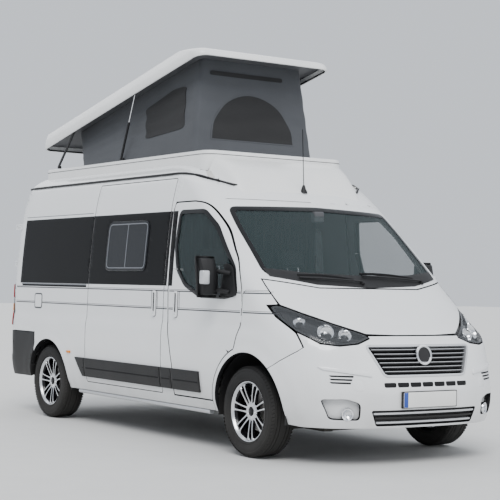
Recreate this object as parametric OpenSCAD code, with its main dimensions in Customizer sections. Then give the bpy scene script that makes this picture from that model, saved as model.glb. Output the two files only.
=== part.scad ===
// Camper van: a high-roof panel van with a lifting roof that rises at the front.
// X points to the van's left side, Y to its rear and Z up. The origin is on the ground,
// below the middle of the van's length and width.

/* [Overall] */
// Distance between the axles
wheelbase = 3450; // [3000:1:4140]
// Distance from the front axle to the tip of the front bumper
front_overhang = 948; // [948:1:1100]
// Distance from the rear axle to the rear doors
rear_overhang = 1015; // [900:1:1300]
// Width of the body without its mirrors
body_width = 2050; // [1800:1:2460]
// Height of the fixed roof at its crown
roof_height = 2450; // [2250:1:2940]

/* [Body panels] */
// Thickness of the side walls and doors
wall = 60; // [45:1:75]
// Thickness of the bonnet and the front panels
front_wall = 45; // [35:1:55]
// Gap round every panel that moves
door_gap = 8; // [6:1:12]
// Gap between two fixed pieces that touch
seat_gap = 0.3; // [0.2:0.1:0.6]
// Height of the bottom edge of the doors
door_bottom = 400; // [380:1:440]
// Thickness of a pane of glass
pane = 6; // [4:1:8]
// Thickness of a framed acrylic window
acrylic = 32; // [24:1:40]

/* [Sliding door] */
// Distance from the front axle to the front edge of the sliding door
slider_start = 1295; // [1290:1:1400]
// Width of the sliding door
slider_width = 1385; // [1150:1:1420]
// Length of its window
slider_window_length = 740; // [500:1:900]
// Height of its window
slider_window_height = 445; // [350:1:520]

/* [Running gear] */
// Outer diameter of the tyres
tyre_diameter = 700; // [640:1:740]
// Width of the tyres
tyre_width = 225; // [195:1:235]
// Diameter of the rims
rim_diameter = 467; // [400:1:480]
// Diameter of a wheel spindle
spindle_diameter = 60; // [50:1:72]
// Running clearance between a spindle and its hub, on the radius
spindle_clearance = 0.05; // [0.02:0.01:0.1]
// Distance from the body side to the middle of a tyre
tyre_inset = 120; // [118:1:140]
// Distance from the middle of a front tyre to its steering axis
kingpin_offset = 65; // [55:1:75]
// Radius of the front wheel arches
front_arch = 455; // [445:1:480]
// Radius of the rear wheel arches
rear_arch = 410; // [400:1:440]

/* [Lifting roof] */
// Half width of the roof's base frame
plinth_half = 740; // [620:1:800]
// Height of the base frame's flat top
plinth_rise = 20; // [15:1:60]
// Distance from the front axle to the front of the base frame
plinth_start = 1070; // [1050:1:1150]
// Length of the base frame
plinth_length = 3170; // [2700:1:3300]
// Tilt of the open roof
roof_tilt = 11.6; // [8:0.1:14]
// Thickness of the roof shell at its edge
roof_edge = 150; // [120:1:180]
// Length of a lifting arm between its pivots
arm_length = 516; // [420:1:560]
// Angle of the open lifting arms above the closed ones
arm_swing = 43; // [35:1:50]
// Radius of the gas struts' tubes
strut_radius = 12; // [9:1:14]

/* [Hidden] */

// Levels and places below are drawn for these sizes and follow the named ones.
drawn_half = 1025;
drawn_roof = 2450;
belt = 1306;
half = body_width / 2;
front_axle = (front_overhang - wheelbase - rear_overhang) / 2;
rear_axle_y = front_axle + wheelbase;
rear_end = rear_axle_y + rear_overhang;
hub_height = tyre_diameter / 2 + 3;
width_scale = half / drawn_half;
rise_scale = (roof_height - belt) / (drawn_roof - belt);
reach = 2 * body_width;
wheel_x = half - tyre_inset;
kingpin_x = wheel_x - kingpin_offset;

// Height above the ground of a level drawn at z
function up(z) = z <= belt ? z : belt + (z - belt) * rise_scale;

// Body shell: height, nose ahead of the front axle, half width, depth of the front corner, rear set-in
LEVELS = [
    [270, 925, 940, 700, 0], [330, 938, 965, 715, 0], [420, 948, 996, 735, 0], [520, 947, 1012, 755, 0],
    [620, 930, 1021, 770, 25], [760, 893, 1025, 770, 25], [860, 860, 1025, 755, 25], [930, 815, 1022, 720, 25],
    [970, 770, 1017, 675, 25], [1060, 625, 1013, 590, 25], [1160, 470, 1011, 510, 25], [1250, 335, 1009, 440, 25],
    [1310, 245, 1006, 400, 25], [1410, 125, 999, 372, 25], [1600, -90, 984, 366, 27], [1800, -320, 964, 366, 31],
    [1960, -505, 945, 372, 39], [2060, -615, 927, 385, 47], [2150, -720, 906, 400, 57],
    [2220, -825, 886, 420, 67], [2268, -925, 864, 440, 75], [2320, -1060, 812, 455, 87],
    [2370, -1230, 726, 470, 103], [2410, -1410, 610, 480, 125], [2436, -1580, 460, 490, 155],
    [2450, -1760, 280, 500, 195]
];
corner_power = 2.8;
nose_steps = 10;
tail_steps = 5;
tail_radius = 190;

// How far a level sinks when the shell is drawn in, none on the walls and all of it on the roof
function sink(z) = min(1, max(0, (z - 1960) / 308));

// Right half of one ring of the shell, from the middle of the nose round to the middle of the tail
function half_ring(level, inset) =
    let (w = level[2] * width_scale - inset, nose = front_axle - level[1] + inset,
         tail = rear_end - level[4] - inset, r = min(tail_radius, w / 2), e = 2 / corner_power)
    concat(
        [for (i = [0:nose_steps]) let (a = 90 * i / nose_steps)
            [w * pow(sin(a), e), nose + level[3] * (1 - pow(cos(a), e))]],
        [for (i = [0:tail_steps]) let (a = 90 * i / tail_steps)
            [w - r + r * cos(a), tail - r + r * sin(a)]],
        [[0, tail]]);

// Solid inside the shell, drawn in by inset
module body_core(inset = 0) {
    rings = [for (level = LEVELS) half_ring(level, inset)];
    count = len(rings[0]);
    around = 2 * count - 2;
    points = [for (k = [0:len(LEVELS) - 1]) let (z = up(LEVELS[k][0]) - inset * sink(LEVELS[k][0])
                  - (k == 0 ? 2 * inset : 0), r = rings[k])
        each concat([for (p = r) [p.x, p.y, z]], [for (i = [count - 2:-1:1]) [-r[i].x, r[i].y, z]])];
    top = around * (len(LEVELS) - 1);
    sides = [for (k = [0:len(LEVELS) - 2], i = [0:around - 1])
        let (a = k * around + i, b = k * around + (i + 1) % around)
        each [[a, a + around, b], [b, a + around, b + around]]];
    polyhedron(points, concat(sides, [[for (i = [0:around - 1]) i]],
        [[for (i = [around - 1:-1:0]) top + i]]), convexity = 8);
}

// Panel of the shell, thick mm deep, where the children lie
module panel(thick = wall) {
    resize([0, 0, 0])
    intersection() {
        difference() {
            body_core();
            body_core(thick);
        }
        children();
    }
}

// Prism of a side view (Y, Z) on one side of the van, from x_min outwards
module side_prism(side, x_min = 0) {
    scale([side, 1, 1])
    translate([x_min, 0, 0])
    rotate([90, 0, 90]) linear_extrude(reach) children();
}

// Prism of a front view (X, Z) between two places along Y
module front_prism(y_min, y_max) {
    translate([0, y_max, 0]) rotate([90, 0, 0]) linear_extrude(y_max - y_min) children();
}

// Both sides of a side view
module both_prisms() {
    rotate([90, 0, 90]) translate([0, 0, -reach]) linear_extrude(2 * reach) children();
}

// Place in a side view: behind the front axle and above the ground
function side_point(y, z) = [front_axle + y, up(z)];

// Place in a front view
function front_point(x, z) = [x * width_scale, up(z)];

// Cylinder along X with its middle at x
module along_x(r, length, x = 0) {
    translate([x, 0, 0]) rotate([0, 90, 0]) cylinder(r = r, h = length, center = true);
}

// Block given by its lowest and highest corners
module block(low, high) {
    translate(low) cube(high - low);
}

// Side views ------------------------------------------------------------------

pillar_foot = 1100;
pillar_top = 1245;
door_front = 99;
arch_margin = 48;

// Front door, its lower front corner following the arch
module front_door_view() {
    difference() {
        polygon([
            side_point(pillar_foot, door_bottom), side_point(pillar_foot + 8, 640),
            side_point(1205, 1000), side_point(1225, belt), side_point(pillar_top, 1960),
            side_point(pillar_top - 20, 2010), side_point(930, 2012), side_point(800, 1995),
            side_point(695, 1950), side_point(435, 1750), side_point(211, 1500),
            side_point(125, 1330), side_point(door_front, 1180), side_point(112, 1010),
            side_point(170, 800), side_point(170, door_bottom)
        ]);
        translate([front_axle, hub_height]) circle(r = front_arch + arch_margin, $fn = 72);
    }
}

// Glass of the front door
module front_window_view() {
    offset(r = 28, $fn = 24) offset(delta = -28)
    polygon([
        side_point(1150, 1640), side_point(1130, 1925), side_point(760, 1922),
        side_point(565, 1792), side_point(235, 1450), side_point(185, 1260),
        side_point(330, 1232), side_point(720, 1236), side_point(960, 1325), side_point(1095, 1450)
    ]);
}

// Sliding door up to the gutter
module slider_view() {
    polygon([
        side_point(slider_start, door_bottom), side_point(slider_start + slider_width, door_bottom),
        side_point(slider_start + slider_width, 2258), side_point(slider_start, 2258)
    ]);
}

// Rounded window, its middle at y behind the front axle
module window_view(y, length, height) {
    translate(side_point(y, 1652)) offset(r = 60, $fn = 32)
        square([length - 120, height * rise_scale - 120], center = true);
}

slider_window_y = slider_start + slider_width / 2 + 10;
rear_window_y = wheelbase + 290;
rear_window_length = 560;

// Wheel arches and all that is cut away round the wheels
module arch_cuts(inner = 560) {
    for (side = [1, -1]) scale([side, 1, 1]) {
        translate([inner, front_axle, hub_height]) rotate([0, 90, 0])
            cylinder(r = front_arch, h = reach, $fn = 72);
        translate([inner, front_axle - front_arch, -1]) cube([reach, 2 * front_arch, hub_height + 1]);
        translate([inner, rear_axle_y, hub_height]) rotate([0, 90, 0])
            cylinder(r = rear_arch, h = reach, $fn = 72);
        translate([inner, rear_axle_y - rear_arch, -1]) cube([reach, 2 * rear_arch, hub_height + 1]);
    }
}

// Front views -----------------------------------------------------------------

cowl_height = 1285;
lamp_inner = [448, 972];
lamp_outer = [905, 1178];
rear_door_half = 893;
rear_door_step = 800;
rear_door_bottom = 560;
rear_door_shoulder = 850;
rear_door_top = 2185;
rear_skin = rear_end - 120;

// Bonnet between the headlamps and the windscreen
module bonnet_view() {
    polygon([for (s = [1, -1], k = (s == 1 ? [0:6] : [6:-1:0]))
        let (p = [[0, 966], lamp_inner, [640, 1048], [800, 1122], lamp_outer,
            [bonnet_rear[1], bonnet_rear_heights[1]], [bonnet_rear[0], bonnet_rear_heights[0]]][k])
        front_point(s * (k == 0 ? 1 : p.x), p.y)]);
}

// Headlamp between the bonnet, the wing and the bumper
module lamp_view() {
    difference() {
        lamp_outline();
        offset(delta = door_gap) bonnet_view();
    }
}

module lamp_outline() {
    for (s = [1, -1])
    polygon([for (p = [lamp_inner, [440, 950], [560, 905], [700, 890], [820, 905], [915, 985], [958, 1090],
        [962, 1170], lamp_outer, [800, 1122], [640, 1048]]) front_point(s * p.x, p.y)]);
}

// Radiator grille below the nose
module grille_view() {
    polygon([for (p = [[-391, 671], [391, 671], [506, 889], [-506, 889]]) front_point(p.x, p.y)]);
}

// Air intake low in the bumper
module intake_view() {
    polygon([for (p = [[-470, 300], [470, 300], [520, 418], [-520, 418]]) front_point(p.x, p.y)]);
}

// Windscreen between the pillars
module screen_view() {
    offset(r = 40, $fn = 24) offset(delta = -40)
    polygon([for (s = [1, -1], k = (s == 1 ? [0:4] : [4:-1:0]))
        let (p = [[1, 1322], [500, 1346], [868, 1412], [840, 1800], [812, 1962]][k]) front_point(s * p.x, p.y)]);
}

// One rear door, narrower below its shoulder
module rear_door_view(side, grow = 0) {
    offset(delta = grow)
    polygon([for (p = [[door_gap / 2 / width_scale, rear_door_bottom], [rear_door_step, rear_door_bottom],
        [rear_door_step, rear_door_shoulder], [rear_door_half, rear_door_shoulder],
        [rear_door_half - 18, 1960], [rear_door_half - 45, rear_door_top],
        [door_gap / 2 / width_scale, rear_door_top]]) front_point(side * p.x, p.y)]);
}

// Both rear doors and the gap round them
module rear_doorway(grow) {
    front_prism(rear_skin, rear_end + 50) {
        rear_door_view(1, grow);
        rear_door_view(-1, grow);
        translate([-door_gap, up(rear_door_bottom)])
            square([2 * door_gap, up(rear_door_top) - up(rear_door_bottom)]);
    }
}

// Body ------------------------------------------------------------------------

gutter = 2262;
floor_top = 540;
floor_thick = 40;
sill_inner = half - wall - 45;

// Side view of the cab above the wings, up to the gutter's fall at the front
module cab_view() {
    polygon([side_point(-900, cowl_height), side_point(60, cowl_height), side_point(door_front, 1250),
        side_point(1262, 1250), side_point(1262, gutter), side_point(1150, gutter - 8),
        side_point(900, 2190), side_point(640, 2090), side_point(480, 2030), side_point(-900, 2030)]);
}

// Side view of the roof, above the gutter and the cab
module roof_view() {
    difference() {
        polygon([side_point(-900, 1900), side_point(wheelbase + 2000, gutter),
            side_point(wheelbase + 2000, 2900), side_point(-900, 2900)]);
        polygon([side_point(-1000, 1800), side_point(wheelbase + 2100, 1800),
            side_point(wheelbase + 2100, gutter), side_point(1262, gutter), side_point(1150, gutter - 8),
            side_point(900, 2190), side_point(640, 2090), side_point(480, 2030), side_point(-1000, 2030)]);
    }
}

// Side view of a side wall with its sill
module wall_view() {
    polygon([side_point(wing_end, 300), side_point(wheelbase + 2000, 300),
        side_point(wheelbase + 2000, gutter), side_point(1262 + seat_gap, gutter),
        side_point(1262 + seat_gap, 1250 - seat_gap), side_point(wing_end, 1250 - seat_gap)]);
}

module side_wall(side) {
    color("white")
    panel() {
        difference() {
            side_prism(side) difference() {
                wall_view();
                offset(delta = door_gap) front_door_view();
                if (side == -1) offset(delta = seat_gap) slider_view();
                if (side == 1) {
                    window_view(slider_window_y, slider_window_length, slider_window_height);
                    window_view(rear_window_y, rear_window_length, slider_window_height);
                }
            }
            arch_cuts();
            rear_doorway(door_gap);
            tail_lamp_space(seat_gap);
            rear_bumper_space(seat_gap);
        }
    }
    for (z = leaf_hinge_heights, k = [[-28, -14.5], [14.5, 28]]) color("white") {
        hinge_barrel(side, leaf_hinge_x, leaf_hinge_y, up(z), k[0], k[1]);
        scale([side, 1, 1])
            block([leaf_hinge_x - 4, rear_end - 150, up(z) + k[0]], [leaf_hinge_x + 4, leaf_hinge_y, up(z) + k[1]]);
    }
}

module left_side_wall() { side_wall(1); }
module right_side_wall() { side_wall(-1); }

// Sliding door, held shut
module sliding_door() {
    color("white")
    panel() side_prism(-1) difference() {
        slider_view();
        window_view(slider_window_y, slider_window_length, slider_window_height);
    }
}

// Framed acrylic windows in the walls and the sliding door
module acrylic_window(side, y, length) {
    panel(acrylic) side_prism(side) offset(delta = -seat_gap)
        window_view(y, length, slider_window_height);
}

module side_windows() {
    color("dimgray") {
        acrylic_window(-1, slider_window_y, slider_window_length);
        acrylic_window(1, slider_window_y, slider_window_length);
        acrylic_window(1, rear_window_y, rear_window_length);
    }
}

// Windscreen frame, front pillars and scuttle
module cab_frame() {
    color("white")
    panel() difference() {
        both_prisms() difference() {
            cab_view();
            offset(delta = door_gap) front_door_view();
        }
        front_prism(front_axle - 900, front_axle + 1100) screen_view();
        front_prism(front_axle - 900, front_axle + 60) offset(delta = door_gap) bonnet_view();
    }
}

// Skin of the fixed roof, open under the lifting roof
module roof_skin() {
    color("white")
    panel(40) difference() {
        both_prisms() roof_view();
        translate([0, roof_hatch_y, 0]) linear_extrude(reach)
            offset(r = 60, $fn = 24) square([2 * roof_hatch_half - 120, roof_hatch_length - 120], center = true);
    }
}

module windscreen() {
    color([0.35, 0.45, 0.5, 0.5])
    panel(pane * 2) front_prism(front_axle - 900, front_axle + 1100)
        offset(delta = -seat_gap) screen_view();
}

// Row of LEVELS at any drawn height
function level_at(z) =
    let (k = [for (i = [0:len(LEVELS) - 2]) if (LEVELS[i][0] <= z && LEVELS[i + 1][0] > z) i][0],
         a = LEVELS[k], b = LEVELS[k + 1])
    a + (b - a) * (z - a[0]) / (b[0] - a[0]);

// Place of the shell's front along Y, at x and a drawn height
function skin_y(x, z) =
    let (l = level_at(z), s = min(1, abs(x) / (l[2] * width_scale)))
    front_axle - l[1] + l[3] * (1 - pow(1 - pow(s, corner_power), 1 / corner_power));

// One wiper: its arm and blade across the foot of the glass, on a spindle through the scuttle
module wiper(x, length, start) {
    proud = 16;
    difference() {
        union() {
            for (k = [0:2]) hull() for (i = [k, k + 1]) {
                wx = (x - length * i / 3) * width_scale;
                wz = start + 10 * i;
                translate([wx, skin_y(wx, wz) - proud, up(wz)]) sphere(r = 9 - i, $fn = 16);
            }
            translate([x * width_scale, skin_y(x * width_scale, start) - proud, up(start)]) rotate([50, 0, 0])
                cylinder(r = 14, h = 50, center = true, $fn = 24);
        }
        body_core(-seat_gap);
    }
}

module wipers() {
    color("black") resize([0, 0, 0]) union() {
        wiper(600, 620, 1372);
        wiper(-60, 560, 1352);
    }
}

// Side view of the front bumper
module bumper_view() {
    polygon([side_point(-1000, 250), side_point(-200, 250), side_point(-200, 700), side_point(-300, 700),
        side_point(-560, 850), side_point(-610, 905), side_point(-640, 958), side_point(-1000, 958)]);
}

module front_bumper() {
    color("white")
    panel(front_wall) difference() {
        both_prisms() bumper_view();
        arch_cuts();
        front_prism(front_axle - 1200, front_axle + 100) {
            grille_view();
            intake_view();
            offset(delta = seat_gap) lamp_view();
        }
    }
}

wing_end = 505;

// Front wings, each with the trim behind its wheel and the liner of its arch
module front_wings() {
    color("white") {
        panel(front_wall) difference() {
            both_prisms() difference() {
                polygon([side_point(-900, 300), side_point(wing_end - seat_gap, 300),
                    side_point(wing_end - seat_gap, 1250 - seat_gap), side_point(door_front, 1250 - seat_gap),
                    side_point(60, cowl_height - seat_gap), side_point(-900, cowl_height - seat_gap)]);
                offset(delta = seat_gap) bumper_view();
                offset(delta = door_gap) front_door_view();
            }
            arch_cuts();
            block([-600 * width_scale, front_axle - 1000, 0], [600 * width_scale, front_axle - 300, up(1400)]);
            front_prism(front_axle - 1200, front_axle + 60) {
                offset(delta = seat_gap) lamp_view();
                offset(delta = door_gap) bonnet_view();
            }
        }
        for (s = [1, -1]) {
            scale([s, 1, 1]) arch_liner();
            for (z = hinge_heights, k = [[-26, -12.5], [12.5, 26]]) {
                hinge_barrel(s, hinge_x, hinge_y, z, k[0], k[1]);
                scale([s, 1, 1]) block([hinge_x - 10, hinge_y - 22, z + k[0]], [hinge_x, hinge_y, z + k[1]]);
            }
        }
    }
}

// Curved liner over a front wheel
module arch_liner() {
    difference() {
        translate([well_inner, front_axle, hub_height]) rotate([0, 90, 0])
            cylinder(r = front_arch + 12, h = half - 40 * width_scale - well_inner, $fn = 72);
        translate([0, front_axle, hub_height]) rotate([0, 90, 0]) cylinder(r = front_arch, h = reach, $fn = 72);
        block([0, front_axle - 600, -200], [reach, front_axle + 600, 715]);
    }
}

module headlamps() {
    color("lightgray")
    panel(front_wall + 20) front_prism(front_axle - 1000, front_axle + 60) lamp_view();
}

grille_bars = 6;
module grille() {
    color("dimgray")
    panel(30) front_prism(front_axle - 1200, front_axle) {
        difference() {
            offset(delta = -seat_gap) grille_view();
            for (i = [0:grille_bars - 1])
                translate([-reach / 2, 694 + i * 31]) square([reach, 17]);
        }
        difference() {
            offset(delta = -seat_gap) grille_view();
            offset(delta = -14) grille_view();
        }
        difference() {
            offset(delta = -seat_gap) intake_view();
            for (i = [0:2]) translate([-470, 316 + i * 33]) square([940, 20]);
        }
    }
}

// The bonnet turns about an axis at its rear corners, given as [Y, Z]
bonnet_axis = [front_axle - 30, up(1385)];
bonnet_rear = [500, 905];
bonnet_rear_heights = [1310, 1372];

function bonnet_rear_height(x) = lookup(abs(x), [[0, bonnet_rear_heights[0]],
    [bonnet_rear[0], bonnet_rear_heights[0]], [bonnet_rear[1], bonnet_rear_heights[1]]]);

// Space inside the path of the bonnet's rear edge, where the scuttle stays
module bonnet_path() {
    edge = bonnet_rear[1] * width_scale;
    steps = 20;
    translate([0, bonnet_axis.x, bonnet_axis.y]) rotate([0, 90, 0]) rotate_extrude($fn = 72)
        polygon(concat([[0, -edge]], [for (i = [-steps:steps]) let (x = i * edge / steps,
            z = bonnet_rear_height(x / width_scale)) [norm([skin_y(x, z), up(z)] - bonnet_axis), x]],
            [[0, edge]]));
}

module bonnet() {
    color("white")
    panel(front_wall) difference() {
        front_prism(front_axle - 1000, front_axle + 60) bonnet_view();
        block([-reach, front_axle + 30, 0], [reach, front_axle + 400, 3000]);
        bonnet_path();
    }
}

// Rear bumper with its corners wrapped round the body
bumper_corner_top = 822;
bumper_corner_start = 303;
module rear_bumper_space(grow = 0) {
    block([-reach, rear_axle_y + rear_arch + 30 - grow, 0], [reach, rear_end + 80, 545 + grow]);
    for (s = [1, -1]) scale([s, 1, 1])
        block([rear_door_step * width_scale + door_gap + 4 - grow, rear_axle_y + bumper_corner_start - grow, 500],
            [reach, rear_end + 80, bumper_corner_top + grow]);
}

module rear_bumper() {
    color([0.12, 0.12, 0.13])
    panel() difference() {
        rear_bumper_space();
        arch_cuts();
        block([-reach, 0, 0], [reach, rear_end + 100, 360]);
    }
}

// Upright tail lamps at the rear corners
lamp_low = 860;
lamp_high = 1290;
module tail_lamp_space(grow = 0) {
    for (s = [1, -1]) scale([s, 1, 1])
        block([leaf_hinge_x + 15 - grow, rear_end - 150 - grow, lamp_low - grow],
            [reach, rear_end + 50, lamp_high + grow]);
}

module tail_lamps() {
    color("firebrick")
    panel(front_wall) tail_lamp_space();
}

// Front door -------------------------------------------------------------------

// Barrels of the front door's hinges: the middle one on the door, the outer ones on the body
hinge_x = half - 6;
hinge_y = front_axle + door_front - 4;
hinge_radius = 5;
hinge_heights = [1060, 1170];
module hinge_barrel(side, x, y, z, low, high) {
    translate([side * x, y, z + low]) cylinder(r = hinge_radius, h = high - low, $fn = 24);
}

module front_door(side) {
    color("white") {
        panel() side_prism(side) difference() {
            front_door_view();
            front_window_view();
        }
        for (z = hinge_heights) {
            hinge_barrel(side, hinge_x, hinge_y, z, -12, 12);
            scale([side, 1, 1]) {
                block([hinge_x - 4.5, hinge_y, z - 12], [hinge_x, hinge_y + 24, z + 12]);
                block([hinge_x - 12, hinge_y + 16, z - 12], [hinge_x - 4, hinge_y + 24, z + 12]);
            }
        }
    }
}

module door_glass(side) {
    color([0.3, 0.4, 0.42, 0.5])
    panel(pane * 2) side_prism(side) offset(delta = -seat_gap) front_window_view();
}

module front_door_left() { front_door(1); }
module front_door_right() { front_door(-1); }
module door_glass_left() { door_glass(1); }
module door_glass_right() { door_glass(-1); }

// Mirror: two arms on the door and a tall housing
mirror_y = front_axle + 430;
mirror_z = 1385;
mirror_foot = front_axle + 235;
module mirror(side) {
    color([0.08, 0.08, 0.08])
    scale([side, 1, 1]) resize([0, 0, 0]) difference() {
        union() {
            hull() {
                for (z = [-125, 125], x = [45, 165])
                    translate([half + x, mirror_y + 30, up(mirror_z) + z]) rotate([90, 0, 0])
                        cylinder(r = 32, h = 60, $fn = 24);
                translate([half + 105, mirror_y - 48, up(mirror_z)]) scale([1, 0.5, 1.7])
                    sphere(r = 60, $fn = 24);
            }
            for (z = [-105, 45]) hull() {
                translate([half - 60, mirror_foot, up(mirror_z) + z]) rotate([0, 90, 0])
                    cylinder(r = 20, h = 60, $fn = 24);
                translate([half + 80, mirror_y, up(mirror_z) + z]) rotate([0, 90, 0])
                    cylinder(r = 24, h = 12, $fn = 24);
            }
        }
        body_core(-seat_gap);
    }
}

module mirror_left() { mirror(1); }
module mirror_right() { mirror(-1); }

// Rear doors --------------------------------------------------------------------

// Window of a rear door
module rear_window_view(side) {
    translate(front_point(side * 450, 1660)) offset(r = 45, $fn = 24)
        square([560, 440 * rise_scale] - [90, 90], center = true);
}

// Hinges of the rear doors stand proud of the corner
leaf_hinge_x = rear_door_half * width_scale + 37;
leaf_hinge_y = rear_end - 10;
leaf_hinge_heights = [980, 1500, 1880];
module rear_door(side) {
    color("white") {
        panel() difference() {
            front_prism(rear_skin, rear_end + 50) difference() {
                rear_door_view(side);
                rear_window_view(side);
            }
        }
        for (z = leaf_hinge_heights) {
            hinge_barrel(side, leaf_hinge_x, leaf_hinge_y, up(z), -14, 14);
            scale([side, 1, 1]) {
                block([leaf_hinge_x - 72, rear_end - 90, up(z) - 14], [leaf_hinge_x - 64, leaf_hinge_y + 3, up(z) + 14]);
                block([leaf_hinge_x - 66, leaf_hinge_y - 3, up(z) - 14],
                    [leaf_hinge_x, leaf_hinge_y + 3, up(z) + 14]);
            }
        }
    }
}

module rear_window(side) {
    color("dimgray")
    panel(acrylic) front_prism(rear_skin, rear_end + 50) offset(delta = -seat_gap) rear_window_view(side);
}

module rear_door_left() { rear_door(1); }
module rear_door_right() { rear_door(-1); }
module rear_window_left() { rear_window(1); }
module rear_window_right() { rear_window(-1); }

// Floor and frame ----------------------------------------------------------------

well_inner = 560;
firewall_y = front_axle + 20;
heel_y = front_axle + front_arch + 15;
dash_bottom = 870;

// Floor with the firewall and the boxes over the wheels
tub_inner = 650;
module floor_pan() {
    color("gray")
    difference() {
        union() {
            block([-sill_inner, heel_y, floor_top - floor_thick], [sill_inner, rear_end - 190, floor_top]);
            block([-sill_inner + 120, heel_y, floor_top - floor_thick],
                [sill_inner - 120, rear_end - wall - 12, floor_top]);
            block([-well_inner + 4, firewall_y, floor_top - floor_thick], [well_inner - 4, heel_y + 1, floor_top]);
            block([-well_inner + 4, firewall_y, floor_top - 1], [well_inner - 4, firewall_y + 25, dash_bottom - seat_gap]);
            for (s = [1, -1]) scale([s, 1, 1]) {
                block([well_inner - 20, heel_y, floor_top - 1], [sill_inner, heel_y + 20, dash_bottom - seat_gap]);
                block([well_inner - 20, firewall_y, floor_top - 1],
                    [well_inner - 4, heel_y + 1, dash_bottom - seat_gap]);
                rear_tub();
            }
        }
        for (s = [1, -1]) scale([s, 1, 1])
            translate([tub_inner, rear_axle_y, hub_height]) rotate([0, 90, 0])
                cylinder(r = rear_arch, h = reach, $fn = 72);
    }
}

// Box over a rear wheel
module rear_tub() {
    difference() {
        translate([tub_inner - 20, rear_axle_y, hub_height]) rotate([0, 90, 0])
            cylinder(r = rear_arch + 15, h = sill_inner - tub_inner + 20, $fn = 72);
        block([0, rear_axle_y - reach, -reach], [reach, rear_axle_y + reach, floor_top - floor_thick]);
    }
}

rail_x = 450;
rail_low = 390;

// Two rails with crossmembers, and the frame that carries the engine
module underframe() {
    color([0.15, 0.15, 0.16]) {
        rail_top = floor_top - floor_thick - seat_gap;
        for (s = [1, -1]) scale([s, 1, 1]) {
            block([rail_x - 40, front_axle - 700, rail_low], [rail_x + 40, rear_end - 140, rail_top]);
            // Lower arm out to the steering axis
            block([300, front_axle - 32, 205], [kingpin_x, front_axle + 32, arm_top]);
            translate([kingpin_x, front_axle, 205]) cylinder(r = 32, h = arm_top - 205);
            // Hangers of the leaf spring
            for (y = [-spring_half, spring_half])
                block([rail_x + 39, rear_axle_y + y - 35, spring_eye + seat_gap],
                    [spring_x + 32, rear_axle_y + y + 35, spring_eye + 50]);
            block([rail_x - 30, front_axle - 300, 215], [rail_x + 30, front_axle - 240, rail_low + 1]);
            block([rail_x - 30, front_axle + 240, 215], [rail_x + 30, front_axle + 300, rail_low + 1]);
            block([rail_x - 40, front_axle - 300, 205], [rail_x + 40, front_axle + 300, 255]);
        }
        for (y = [front_axle - 660, front_axle + 900, front_axle + 1700, rear_axle_y - 620, rear_axle_y + 700])
            block([-rail_x, y, rail_low + 10], [rail_x, y + 70, rail_top - 10]);
        block([-rail_x, front_axle - 300, 210], [rail_x, front_axle - 230, 250]);
        block([-rail_x, front_axle + 230, 210], [rail_x, front_axle + 300, 250]);
    }
}

module engine() {
    color("gray")
    block([-340, front_axle - 470, 250 + seat_gap], [340, front_axle - 40, 880]);
}

spring_x = 560;
spring_half = 605;
spring_eye = 400;
arm_top = 240;

// Dead rear axle on two leaf springs
module rear_axle() {
    color([0.15, 0.15, 0.16])
    translate([0, rear_axle_y, 0]) {
        plate_x = wheel_x - 175;
        translate([0, 0, 262]) along_x(38, 2 * plate_x);
        for (s = [1, -1]) scale([s, 1, 1]) {
            block([plate_x - 12, -60, 215], [plate_x + 12, 60, hub_height + 60]);
            translate([0, 0, hub_height]) along_x(spindle_diameter / 2, 190, plate_x + 95);
            // Leaf spring
            translate([spring_x - 32, 0, 0]) rotate([90, 0, 90]) linear_extrude(64)
                polygon([[-640, spring_eye], [-350, 330], [0, 305], [350, 330], [640, spring_eye],
                    [640, 380], [350, 308], [0, 283], [-350, 308], [-640, 380]]);
            block([spring_x - 45, -60, 255], [spring_x + 45, 60, 318]);
        }
    }
}

module exhaust() {
    color("silver")
    translate([-300, 0, rail_low + 10 - 95 - seat_gap]) {
        translate([0, front_axle + 300, 0]) rotate([-90, 0, 0]) cylinder(r = 32, h = rear_axle_y - front_axle - 900);
        translate([0, front_axle + 900, 0]) rotate([-90, 0, 0]) cylinder(r = 85, h = 560);
        translate([0, rear_axle_y - 760, 0]) rotate([-90, 0, 0]) cylinder(r = 95, h = 420);
    }
}

module fuel_tank() {
    color([0.1, 0.1, 0.1])
    block([rail_x + 40 + seat_gap, front_axle + 950, 260], [rail_x + 380, front_axle + 2050, 480]);
}

// Cab ---------------------------------------------------------------------------

dash_half = 800 * width_scale;

wheel_centre = [400 * width_scale, front_axle + 560, 1190];
column_tilt = 42;
column_radius = 24;
steer_radius = 190;

// Frame of the steering column: Z along the column, towards the driver
module on_column() {
    translate(wheel_centre) rotate([column_tilt - 90, 0, 0]) children();
}

// Dashboard with the steering column's housing
module dashboard() {
    color([0.15, 0.15, 0.16])
    difference() {
        union() {
            translate([-dash_half, 0, 0]) rotate([90, 0, 90]) linear_extrude(2 * dash_half)
                polygon([side_point(-20, 870), side_point(-60, 1200), side_point(-40, 1280),
                    side_point(0, 1300), side_point(190, 1310), side_point(340, 1280),
                    side_point(400, 1240), side_point(430, 1150), side_point(400, 960),
                    side_point(330, 870)]);
            on_column() translate([0, 0, -270]) cylinder(r = 48, h = 150);
        }
        on_column() translate([0, 0, -230]) cylinder(r = column_radius + spindle_clearance, h = 200);
    }
}

// Steering wheel and its shaft
module steering_wheel() {
    color([0.1, 0.1, 0.1])
    on_column() {
        rotate_extrude($fn = 64) translate([steer_radius, 0]) circle(r = 15, $fn = 20);
        translate([0, 0, -34]) cylinder(r = 62, h = 34);
        for (a = [0, 180, 270]) rotate([0, 0, a]) block([50, -16, -14], [steer_radius - 8, 16, 2]);
        translate([0, 0, -220]) cylinder(r = column_radius, h = 190);
    }
}

seat_x = 430;

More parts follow.
